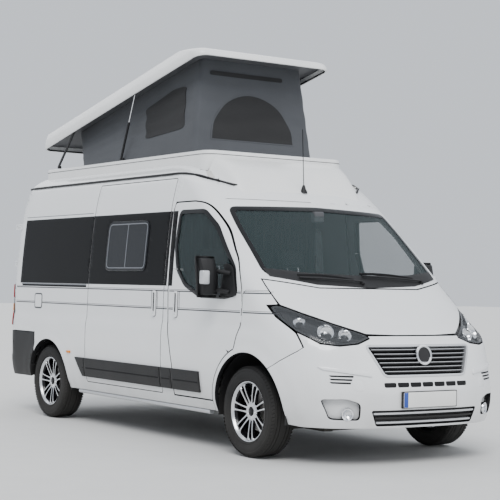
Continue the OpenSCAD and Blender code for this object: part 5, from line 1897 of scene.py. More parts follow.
def densified(loop: Sequence[Pair], step: float = 0.03) -> Outline:
    """Adds points along the edges of a closed outline.

    Args:
        loop: Closed outline.
        step: Longest piece left undivided.

    Returns:
        The outline with more points.
    """
    dense: Outline = []
    for (a0, b0), (a1, b1) in zip(loop, [*loop[1:], loop[0]]):
        count = max(1, math.ceil(math.hypot(a1 - a0, b1 - b0) / step))
        dense += [(a0 + (a1 - a0) * i / count, b0 + (b1 - b0) * i / count) for i in range(count)]
    return dense


@dataclass
class Roof:
    """Fixed roof, base frame, lifting shell, cloth walls, arms, struts and aerial."""

    plinth_top: float = 2.47
    plinth_half: float = 0.74
    start: float = -0.6885
    length: float = 3.17
    tilt: float = 11.6

    def __post_init__(self) -> None:
        """Works out the pivots as the frame has them."""
        self.foot = Vector((0, self.start + self.length - 0.24, self.plinth_top + 0.024))
        closed, opened = math.radians(178), math.radians(135)
        self.closed = self.foot + 0.516 * Vector((0, math.cos(closed), math.sin(closed)))
        self.opened = self.foot + 0.516 * Vector((0, math.cos(opened), math.sin(opened)))
        self.plane = self.closed.z + 0.024
        self.strut_foot = self.foot + Vector((0, -1.307, 0))
        self.strut_eye = self.lift(self.closed + Vector((0, -1.212, -0.014)))

    def lift(self, point: Vector) -> Vector:
        """Carries a place on the closed roof to the open one.

        Args:
            point: Place on the closed roof.

        Returns:
            The place on the open roof.
        """
        a = math.radians(self.tilt)
        d = point - self.closed
        return Vector((point.x, self.opened.y + d.y * math.cos(a) + d.z * math.sin(a),
                       self.opened.z + d.z * math.cos(a) - d.y * math.sin(a)))

    def plan(self, half: float, start: float, end: float, corner: float, steps: int = 8) -> Outline:
        """Rounded rectangle in plan, with the same number of points for any size.

        Args:
            half: Half its width.
            start: Front end.
            end: Rear end.
            corner: Radius of its corners.
            steps: Pieces in each rounded corner.

        Returns:
            The outline in (x, y).
        """
        points: Outline = []
        for cx, cy, a in ((half - corner, end - corner, 0), (-half + corner, end - corner, 90),
                          (-half + corner, start + corner, 180), (half - corner, start + corner, 270)):
            points += arc((cx, cy), corner, a, a + 90, steps)
        return points

    def build(self) -> None:
        """Builds everything above the gutter."""
        self.skin()
        self.base()
        self.shell()
        self.cloth()
        self.arms()
        self.struts()
        self.aerial()

    def skin(self) -> None:
        """Fixed roof from the gutter and the header up, as one net of cells."""
        low = [*trace_open([(0.0, 2.034), (0.8, 2.034)], SHELL.front),
               *trace_open([(0.482, 2.034), (0.64, 2.094), (0.9, 2.194), (1.15, 2.258), (1.262, 2.266),
                            (4.2, 2.266)],
                           SHELL.side)]
        low = [p for k, p in enumerate(low) if k == 0 or p[0] > max(q[0] for q in low[:k]) + 1e-4]
        columns, rows, top = 110, 26, 2.4495
        points = []
        for j in range(rows + 1):
            for i in range(-columns, columns + 1):
                z = 2.266
                for _ in range(6):
                    s = abs(i) / columns * SHELL.rear(0.0, z)
                    foot = float(np.interp(s, [p[0] for p in low], [p[1] for p in low]))
                    z = foot + (top - foot) * (1 - (1 - j / rows) ** 1.3)
                points.append(SHELL.place(math.copysign(s, i), z))
        wide = 2 * columns + 1
        faces = [(j * wide + i, j * wide + i + 1, (j + 1) * wide + i + 1, (j + 1) * wide + i)
                 for j in range(rows) for i in range(wide - 1)]
        faces.append(tuple(range(rows * wide, (rows + 1) * wide - 1)))
        roof = fresh("roof_surface", points, faces)
        worked(roof, "WELD", merge_threshold=0.0002)
        outward(roof)
        painted(roof, WHITE, PALE_TRIM, SEAL_AND_SHADE)
        # The rim takes the black third finish: the same painted gap shade as on the body panels.
        worked(roof, "SOLIDIFY", thickness=0.025, offset=-1.0, use_even_offset=False, material_offset=1,
               material_offset_rim=2)
        deliver(softened(roof, 0, angle=40), None, Body.ROOT, ["roof_skin"])

    def lofted(self, name: str, rings: Sequence[Sequence[Sequence[float]]], closed: bool = True) -> Thing:
        """Skins a stack of rings with the same number of points.

        Args:
            name: Its name.
            rings: Rings of points, in order.
            closed: Whether the first and last rings are capped.

        Returns:
            The skinned object.
        """
        count = len(rings[0])
        points = [p for ring in rings for p in ring]
        faces = [(k * count + i, k * count + (i + 1) % count, (k + 1) * count + (i + 1) % count,
                  (k + 1) * count + i)
                 for k in range(len(rings) - 1) for i in range(count)]
        if closed:
            faces += [tuple(range(count))[::-1], tuple(range((len(rings) - 1) * count, len(rings) * count))]
        return outward(fresh(name, points, faces))

    def base(self) -> None:
        """White base frame round the hatch, its step at the front and its black seam."""
        end = self.start + self.length
        hatch = self.plan(0.54, self.start + 0.55, self.start + 2.31, 0.05)
        rings = []
        for grow, z in ((0.0, 2.26), (0.0, self.plinth_top - 0.016), (-0.004, self.plinth_top - 0.006),
                        (-0.014, self.plinth_top)):
            ring = [(x, y, z) for x,
                    y in self.plan(self.plinth_half + grow, self.start - grow, end + grow, 0.13 + grow)]
            rings.append([self.sunk(p) if z < 2.4 else p for p in ring])
        for z in (self.plinth_top, self.plinth_top - 0.1):
            rings.append([(x, y, z) for x, y in hatch])
        base = self.lofted("roof_base", rings, closed=False)
        worked(base, "WELD", merge_threshold=0.0004)
        deliver(softened(base, 0, angle=30), GELCOAT, Body.ROOT, ["roof_plinth"])
        seam = []
        for grow, z in ((0.001, 2.434), (0.002, 2.435), (0.002, 2.438), (0.001, 2.439), (-0.01, 2.439),
                        (-0.01, 2.434)):
            seam.append([(x, y, z) for x,
                         y in self.plan(self.plinth_half + grow, self.start - grow, end + grow, 0.13)])
        band = self.lofted("base_seam", [*seam, seam[0]], closed=False)
        deliver(softened(band, 0), SEAL_AND_SHADE)
        for side, word in ((1, "left"), (-1, "right")):
            for k, (at, width) in enumerate(((self.foot, 0.03), (self.strut_foot, 0.024))):
                x = side * (0.672 if k == 0 else 0.655)
                ear = brick(f"base_ear_{word}_{k}", (x - 0.006, at.y - width / 2, at.z - 0.024),
                            (x + 0.006, at.y + width / 2, at.z + 0.014), 0.004)
                deliver(ear, GRAINED)
        rings = []
        for t in np.linspace(0, 1, 15):
            y = self.start + 0.004 - 0.43 * t
            half = self.plinth_half - 0.004 - 0.1 * t
            ring = []
            for u in (-1, -0.985, -0.96, -0.93, -0.88, -0.7, -0.5, -0.25, 0, 0.25, 0.5, 0.7, 0.88, 0.93, 0.96,
                      0.985, 1):
                roof = self.roof_height(u * half, y)
                proud = (2.43 - roof) * (1 - smooth_step(abs(u), 0.88, 1.0)) * (1 - t) ** 1.15
                ring.append((u * half, y, roof + proud - 0.003 - 0.012 * t))
            rings.append(ring)
        points = [p for ring in rings for p in ring]
        faces = [(k * 17 + i, k * 17 + i + 1, (k + 1) * 17 + i + 1, (k + 1) * 17 + i) for k in range(14)
                 for i in range(16)]
        fairing = fresh("roof_fairing", points, faces)
        if fairing.data.polygons[0].normal.z < 0:
            fairing.data.flip_normals()
        worked(fairing, "SUBSURF", levels=1, render_levels=1)
        worked(fairing, "SOLIDIFY", thickness=0.012, offset=-1.0)
        deliver(softened(fairing, 0, angle=50), GELCOAT)

    def roof_height(self, x: float, y: float) -> float:
        """Height of the fixed roof at a place in plan.

        Args:
            x: Place across the vehicle.
            y: Place along the vehicle.

        Returns:
            The height.
        """
        low, high = 2.03, 2.449
        for _ in range(18):
            z = (low + high) / 2
            nose, width, depth, tail, radius = SHELL.ring(z)
            inside = abs(x) < width and nose + 0.001 < y < tail
            if inside and y < nose + depth:
                inside = (abs(x) / width) ** 2.8 + (1 - (y - nose) / depth) ** 2.8 < 1
            if inside and y > tail - radius and abs(x) > width - radius:
                inside = math.hypot(y - tail + radius, abs(x) - width + radius) < radius
            low, high = (z, high) if inside else (low, z)
        return low

    def sunk(self, point: Sequence[float]) -> tuple[float, float, float]:
        """The same place just under the fixed roof."""
        return point[0], point[1], self.roof_height(point[0], point[1]) - 0.012

    def shell(self) -> None:
        """Lifting shell with its crown, rolled edge, dark underside and lip."""
        half, end = self.plinth_half - 0.02, self.start + self.length - 0.025
        low = self.plane - 0.056
        steps = ((0.0, 0.006, 0.0), (0.012, 0.001, 0.0), (0.03, 0.0, 0.0), (0.06, 0.004, 0.02),
                 (0.082, 0.009, 0.06),
                 (0.1, 0.016, 0.12), (0.125, 0.024, 0.2), (0.15, 0.036, 0.3), (0.166, 0.07, 0.42),
                 (0.178, 0.13, 0.56),
                 (0.187, 0.22, 0.68), (0.192, 0.3, 0.8))
        rings = []
        for rise, inset, back in steps:
            plan = self.plan(half - inset, self.start + back, end - inset * 0.6,
                             max(0.05, 0.11 - inset * 0.2))
            rings.append([self.lift(Vector((x, y, low + rise))) for x, y in plan])
        inner = []
        for rise, inset in ((0.0, 0.015), (0.054, 0.017), (0.056, 0.03)):
            plan = self.plan(half - inset, self.start + inset, end - inset, 0.1)
            inner.append([self.lift(Vector((x, y, low + rise))) for x, y in plan])
        skin = self.lofted("shell_skin", [*inner[::-1], *rings])
        softened(skin, 0, angle=42)
        painted(skin, GELCOAT, TRIM)
        normal = Vector((0, math.sin(math.radians(self.tilt)), math.cos(math.radians(self.tilt))))
        origin = self.lift(Vector((0, self.start, low)))
        for face in skin.data.polygons:
            depth = (face.center - origin).dot(normal)
            if face.normal.dot(normal) < -0.6 and depth > 0.03:
                face.material_index = 1
        deliver(skin, None, Body.ROOF, ["pop_roof"])
        seal_rings = []
        for inset, rise in ((0.016, 0.002), (0.016, -0.008), (0.024, -0.008), (0.024, 0.002)):
            seal_rings.append([self.lift(Vector((x, y, low + 0.012 + rise)))
                               for x, y in self.plan(half - inset, self.start + inset, end - inset, 0.09)])
        seal = self.lofted("shell_seal", [*seal_rings, seal_rings[0]], closed=False)
        deliver(softened(seal, 0), SEAL_AND_SHADE, Body.ROOF)
        for side, word in ((1, "left"), (-1, "right")):
            x = side * 0.676
            at = self.opened
            ear = brick(f"shell_ear_{word}", (x - 0.006, at.y - 0.02, at.z - 0.014),
                        (x + 0.006, at.y + 0.02, at.z + 0.03),
                        0.004)
            deliver(ear, GRAINED, Body.ROOF)

    def cloth(self) -> None:
        """Cloth walls: sagging between their hems, with a front window, a vent and side meshes."""
        low_y = (self.start + 0.37, self.start + 2.48)
        high_y = (self.start + 0.24, self.start + 2.61)
        columns, rows = 26, 16

        def corner(u: int, top: bool) -> Vector:
            """Corner u of the low or the high hem."""
            x = (1 if u in (1, 2) else -1) * (0.54 if top else 0.645)
            y = (high_y if top else low_y)[0 if u < 2 else 1]
            return self.lift(Vector((x, y, self.plane - 0.001))) if top else Vector((x, y,
                                                                                     self.plinth_top + 0.001))

        def wall(u: float, v: float) -> Vector:
            """Place on the cloth: u round it in corners, v up it."""
            k = int(u) % 4
            t = u - int(u)
            low = corner(k, False).lerp(corner((k + 1) % 4, False), t)
            high = corner(k, True).lerp(corner((k + 1) % 4, True), t)
            at = low.lerp(high, v)
            middle = Vector((0, (low_y[0] + low_y[1]) / 2, at.z))
            pull = 4 * t * (1 - t) * math.sin(math.pi * v)
            height = (high.z - low.z)
            fold = 0.006 * math.sin(9 * math.pi * v + 1.3 * math.sin(7 * u)) * math.sin(math.pi * v)
            away = (at - middle)
            away.z = 0
            if k in (1, 3):
                away = Vector((math.copysign(1, at.x), 0, 0))
            else:
                away = Vector((0, -1 if k == 0 else 1, 0))
            return at - away * (0.03 * pull * min(1.0, height) - fold * min(1.0, 2.0 * height))

        points = [wall(4 * i / (4 * columns), j / rows) for j in range(rows + 1) for i in range(4 * columns)]
        count = 4 * columns
        faces = [(j * count + i, j * count + (i + 1) % count, (j + 1) * count + (i + 1) % count,
                  (j + 1) * count + i)
                 for j in range(rows) for i in range(count)]
        cloth = outward(fresh("cloth_walls", points, faces))
        worked(cloth, "SUBSURF", levels=1, render_levels=1)
        worked(cloth, "SOLIDIFY", thickness=0.0015, offset=0)
        softened(cloth, 0, angle=60)
        deliver(cloth, BELLOWS, Body.ROOT, ["roof_bellows"])
        extras = [cloth]

        def patch(name: str, outline: Outline, u0: float, finish: Finish, lift: float, slot: Slot) -> Thing:
            """Sews a patch onto the cloth: its outline is (u, v) of one wall."""
            bm = bmesh.new()
            corners = [bm.verts.new((u, v, 0)) for u, v in densified(outline, 0.04)]
            bm.faces.new(corners)
            for axis in (0, 1):
                for k in range(1, 30):
                    spot, way = Vector((0, 0, 0)), Vector((0, 0, 0))
                    spot[axis], way[axis] = k / 30, 1.0
                    bmesh.ops.bisect_plane(bm, geom=bm.verts[:] + bm.edges[:] + bm.faces[:], plane_co=spot,
                                           plane_no=way)
            push = Vector((0, -1, 0)) if u0 == 0 else Vector((1 if u0 == 1 else -1, 0, 0))
            for v in bm.verts:
                v.co = wall(u0 + min(0.9999, v.co.x), v.co.y) + push * lift
            mesh = bpy.data.meshes.new(name)
            bm.to_mesh(mesh)
            bm.free()
            made = bpy.data.objects.new(name, mesh)
            bpy.context.scene.collection.objects.link(made)
            outward(made)
            worked(made, "SOLIDIFY", thickness=0.004, offset=0)
            softened(made, 0, angle=50)
            return deliver(made, finish)

        moon = [(0.14, 0.17), (0.84, 0.17), *[(0.49 + 0.35 * math.cos(a), 0.22 + 0.44 * math.sin(a))
                                              for a in np.linspace(0.06, math.pi - 0.06, 22)]]
        vent = fillet([(0.09, 0.84), (0.8, 0.84), (0.8, 0.885), (0.09, 0.885)], 0.02)
        extras.append(patch("cloth_moon", moon, 0, MESH, 0.0045, Slot.BELLOWS))
        ring_out = grown(moon, 0.012)
        extras.append(patch("cloth_moon_hem", ring_out, 0, BELLOWS, 0.0025, Slot.BELLOWS))
        extras.append(patch("cloth_vent", vent, 0, MESH, 0.0045, Slot.BELLOWS))
        for u0, name in ((1, "left"), (3, "right")):
            window = [(0.1, 0.3), (0.42, 0.3), (0.42, 0.74), (0.2, 0.82), (0.1, 0.78)]
            if u0 == 3:
                window = [(1 - u, v) for u, v in window][::-1]
            extras.append(patch(f"cloth_mesh_{name}", fillet(window, 0.04), u0, MESH, 0.0045, Slot.BELLOWS))
        for piece in extras:
            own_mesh(piece)

    def arms(self) -> None:
        """Black lifting arms with their pins."""
        way = (self.opened - self.foot).normalized()
        for side, word in ((1, "left"), (-1, "right")):
            x0, x1 = (0.685, 0.695)
            outline = []
            for at, start in ((self.foot, math.atan2(way.z, way.y) + math.pi / 2),
                              (self.opened, math.atan2(way.z, way.y) - math.pi / 2)):
                outline += [(at.y + 0.016 * math.cos(start + math.pi * i / 10),
                             at.z + 0.016 * math.sin(start + math.pi * i / 10)) for i in range(11)]
            arm = slab(f"arm_{word}", [(side * x0, y, z) for y, z in outline], (side * (x1 - x0), 0, 0))
            deliver(softened(arm, 0.0015), GRAINED, Body.ARMS, [f"lift_arms"] if side > 0 else [])
            for k, at in enumerate((self.foot, self.opened)):
                end = (0.695, 0.704)[k]
                pin = lathed(f"arm_pin_{word}_{k}",
                             [(0, 0.66), (0.0078, 0.66), (0.0078, end - 0.002), (0.006, end),
                                                     (0, end)], 24, "X")
                moved(pin, Matrix.Translation((0, at.y, at.z)))
                if side < 0:
                    moved(pin, Matrix.Scale(-1, 4, (1, 0, 0)))
                deliver(softened(pin, 0), STEEL, Body.ROOT if k == 0 else Body.ROOF)

    def struts(self) -> None:
        """Gas struts: black tube, bright rod and their eyes."""
        line = self.strut_eye - self.strut_foot
        way = line.normalized()
        angle = math.atan2(way.z, way.y)
        x = 0.68
        tube = 0.3657
        for side, word in ((1, "left"), (-1, "right")):
            frame_of = Matrix.Translation((side * x, self.strut_foot.y, self.strut_foot.z)) @ Matrix.Rotation(
                angle, 4, "X")
            barrel = lathed(f"strut_tube_{word}", [(0, 0.006), (0.007, 0.006), (0.011, 0.014), (0.0118, 0.02),
                                                   (0.0118, tube - 0.006), (0.01, tube), (0.0056, tube),
                                                   (0.0056, tube - 0.26), (0, tube - 0.26)], 28, "Y")
            moved(barrel, frame_of)
            deliver(softened(barrel, 0), GLOSS_BLACK, Body.TUBES,
                    ["strut_tubes"] if side > 0 else [])
            bar = lathed(f"strut_rod_{word}",
                         [(0, tube - 0.009), (0.0049, tube - 0.009), (0.0049, line.length - 0.006),
                                               (0, line.length - 0.006)], 20, "Y")
            moved(bar, frame_of)
            deliver(softened(bar, 0), CHROME, Body.RODS, ["strut_rods"] if side > 0 else [])
            for k, (at, body) in enumerate(((0.0, Body.TUBES), (line.length, Body.RODS))):
                eye = lathed(f"strut_eye_{word}_{k}",
                             [(0.0055, -0.009), (0.009, -0.009), (0.01, -0.006), (0.01, 0.006),
                                                       (0.009, 0.009), (0.0055, 0.009), (0.0055, -0.009)], 24,
                                                       "X")
                moved(eye, frame_of @ Matrix.Translation((0, at, 0)))
                deliver(softened(eye, 0), GRAINED, body)

    def aerial(self) -> None:
        """Whip aerial on its slanted foot."""
        y = FRONT_AXLE + 0.69
        z = self.roof_height(0, y)
        foot = lathed("aerial_foot",
                      [(0, -0.01), (0.033, -0.008), (0.031, 0.006), (0.02, 0.025), (0.013, 0.05),
                                      (0.009, 0.06), (0, 0.061)], 32, "Z")
        moved(foot, Matrix.Translation((0, y, z)) @ Matrix.Shear("XZ", 4, (0, 0)))
        deliver(softened(foot, 0), GRAINED, Body.ROOT, ["antenna"])
        line = [(0, y + 0.03 * t, z + 0.05 + 0.49 * t) for t in np.linspace(0, 1, 12)]
        whip = rod("aerial_whip", line, 0.0036, 10)
        deliver(softened(whip, 0), SEAL_AND_SHADE)


@dataclass
class Wheels:
    """Tyres, seven-pair alloy rims, discs and brakes."""

    radius: float = 0.35
    half: float = 0.1125
    rim: float = 0.2335
    spokes: int = 7
    places: tuple[tuple[str, float, float], ...] = (
        ("front_left", 0.905, FRONT_AXLE), ("front_right", -0.905, FRONT_AXLE),
        ("rear_left", 0.905, REAR_AXLE), ("rear_right", -0.905, REAR_AXLE))

    def build(self) -> None:
        """Builds one wheel and puts a copy at each place."""
        parts = [("tyre", self.tyre(), RUBBER, Slot.TYRE), ("rim", self.alloy(), None, Slot.RIM),
                 ("hub_cap", self.cap(), GLOSS_BLACK, Slot.BLACK),
                 ("bolts", self.bolts(), CHROME, Slot.CHROME),
                 ("disc", self.disc(), DISC, Slot.RIM)]
        for word, x, y in self.places:
            for name, part, finish, slot in parts:
                copy = part.copy()
                copy.data = part.data.copy()
                copy.name = f"wheel_{name}_{word}"
                bpy.context.scene.collection.objects.link(copy)
                if x < 0:
                    moved(copy, Matrix.Scale(-1, 4, (1, 0, 0)))
                moved(copy, Matrix.Translation((x, y, HUB_HEIGHT)) @ Matrix.Rotation(math.radians(8), 4, "X"))
                stands = [f"tyre_{word}"] if name == "tyre" else [f"rim_{word}"] if name == "rim" else []
                deliver(copy, finish, f"wheel_{word}", stands)
        for name, part, finish, slot in parts:
            bpy.data.objects.remove(part)

    def tyre(self) -> Thing:
        """Tyre with ribs, grooves, shoulder blocks and a rim protector.

        Returns:
            The tyre about the origin.
        """
        w, r, b = self.half, self.radius, self.rim + 0.0006
        side = [(b, w - 0.014), (b + 0.004, w - 0.006), (b + 0.012, w - 0.003), (b + 0.016, w - 0.006),
                (b + 0.028, w - 0.004), (b + 0.05, w), (b + 0.066, w - 0.0008), (r - 0.04, w - 0.004),
                (r - 0.036, w - 0.0025), (r - 0.026, w - 0.006), (r - 0.014, w - 0.014),
                (r - 0.007, w - 0.024)]
        tread = []
        for low, high in ((0.064, 0.085), (0.034, 0.058), (0.005, 0.028)):
            tread += [(r - 0.0008 - 0.06 * max(0, high - 0.06), high), (r - 0.0004, low),
                      (r - 0.008, low - 0.001),
                      (r - 0.008, low - 0.005)]
        tread = tread[:-2]
        outer = [*side, *tread]
        profile = [*outer, *[(rr, -p) for rr, p in outer[::-1]]]
        profile.append(profile[0])
        carcass = lathed("tyre_carcass", profile, 144)
        count = 76
        points, faces = [], []
        for i in range(count):
            a = 2 * math.pi * i / count
            for sign in (1, -1):
                lean = 0.45
                base = len(points)
                for rr in (r - 0.009, r - 0.001):
                    for px, da in ((0.088, 0.0), (0.088, lean),
                                   (0.108 - (0.006 if rr > r - 0.005 else 0), lean),
                                   (0.108 - (0.006 if rr > r - 0.005 else 0), 0.0)):
                        angle = a + 2 * math.pi / count * (da * 1.3 + (0.2 if px > 0.1 else 0.0))
                        rad = rr - (0.006 if px > 0.1 and rr > r - 0.005 else 0.0) - (0.004 if px > 0.1 else 0)
                        points.append((sign * px, rad * math.cos(angle), rad * math.sin(angle)))
                faces += [tuple(base + k for k in f) for f in ((0, 1, 2, 3), (7, 6, 5, 4), (0, 4, 5, 1),
                                                               (1, 5, 6, 2),
                                                               (2, 6, 7, 3), (3, 7, 4, 0))]
        shoulder = outward(fresh("tyre_blocks", points, faces))
        tyre = joined("tyre_master", [carcass, shoulder])
        return softened(tyre, 0, angle=32)

    def alloy(self) -> Thing:
        """Rim: bright lip and faces, dark barrel and back.

        Returns:
            The rim about the origin.
        """
        r, w = self.rim, 0.0985
        barrel = lathed("rim_barrel",
                        [(r, -w), (r, -w + 0.014), (r - 0.016, -w + 0.02), (r - 0.026, -w + 0.04),
                                       (r - 0.03, w - 0.05), (r - 0.02, w - 0.024), (r - 0.012, w - 0.012),
                                       (r - 0.004, w - 0.006), (r, w - 0.004), (r, w),
                                       (r - 0.003, w + 0.0015),
                                       (r - 0.009, w - 0.001), (r - 0.02, w - 0.016), (r - 0.0285, w - 0.03),
                                       (r - 0.037, w - 0.05), (r - 0.034, -w + 0.035),
                                       (r - 0.022, -w + 0.012),
                                       (r - 0.008, -w), (r, -w)], 96)
        spokes = []
        for i in range(self.spokes):
            for d in (-1, 1):
                spokes.append(self.spoke(2 * math.pi * i / self.spokes, d))
        hub = lathed("rim_hub", [(0.031, 0.0), (0.07, 0.002), (0.078, 0.02), (0.08, 0.05), (0.074, 0.064),
                                 (0.06, 0.07), (0.036, 0.068), (0.031, 0.06), (0.031, 0.0)], 56)
        rim = joined("rim_master", [barrel, *spokes, hub])
        softened(rim, 0, angle=30)
        painted(rim, ALLOY, GLOSS_BLACK)
        for face in rim.data.polygons:
            away = math.hypot(face.center.y, face.center.z)
            bright = (face.normal.x > 0.72 and face.center.x > 0.045) or (away > r - 0.024 and face.center.x > 0.06)
            face.material_index = 0 if bright else 1
        return rim

    def spoke(self, angle: float, d: int) -> Thing:
        """One spoke of a pair, bowed outwards and tapered, widening at the rim.

        Args:
            angle: Turn of the pair about the axle.
            d: 1 or -1, for either spoke of the pair.

        Returns:
            The spoke.
        """
        rings = []
        for t in np.linspace(0, 1, 10):
            reach = 0.055 + t * (self.rim - 0.012 - 0.055)
            across = d * (0.017 + 0.013 * t ** 1.4)
            half = 0.0105 - 0.003 * math.sin(math.pi * t) + 0.004 * max(0, t - 0.8) * 5
            face = 0.066 + 0.013 * math.sin(math.pi * 0.62 * t) + 0.006 * t
            depth = 0.032 - 0.008 * t
            ring = []
            for dx, dy in ((-depth, -half * 0.7), (-0.004, -half), (0, -half + 0.003), (0, half - 0.003),
                           (-0.004, half), (-depth, half * 0.7)):
                y, z = reach, across + dy
                ring.append((face + dx, y * math.cos(angle) - z * math.sin(angle),
                             y * math.sin(angle) + z * math.cos(angle)))
            rings.append(ring)
        points = [p for ring in rings for p in ring]
        faces = [(k * 6 + i, k * 6 + (i + 1) % 6, (k + 1) * 6 + (i + 1) % 6, (k + 1) * 6 + i)
                 for k in range(9) for i in range(6)]
        faces += [tuple(range(6))[::-1], tuple(range(54, 60))]
        return outward(fresh("spoke", points, faces))

    def cap(self) -> Thing:
        """Dark cap over the hub."""
        return softened(lathed("cap_master", [(0, 0.078), (0.018, 0.0775), (0.026, 0.075), (0.03, 0.07),
                                              (0.0305, 0.056), (0, 0.056)], 40), 0)

    def bolts(self) -> Thing:
        """Five wheel bolts.

        Returns:
            The bolts, as one object.
        """
        made = []
        for i in range(5):
            a = 2 * math.pi * (i + 0.5) / 5
            bolt = lathed("bolt", [(0, 0.074), (0.006, 0.0735), (0.009, 0.071), (0.009, 0.058), (0, 0.058)],
                          12)
            made.append(moved(bolt, Matrix.Translation((0, 0.052 * math.cos(a), 0.052 * math.sin(a)))))
        return softened(joined("bolts_master", made), 0)

    def disc(self) -> Thing:
        """Brake disc with its bell.

        Returns:
            The disc.
        """
        return softened(lathed("disc_master",
                               [(0.031, -0.012), (0.075, -0.012), (0.078, -0.006), (0.15, -0.006),
                                               (0.15, 0.006), (0.085, 0.006), (0.08, 0.03), (0.072, 0.034),
                                               (0.031, 0.034), (0.031, -0.012)], 72), 0)


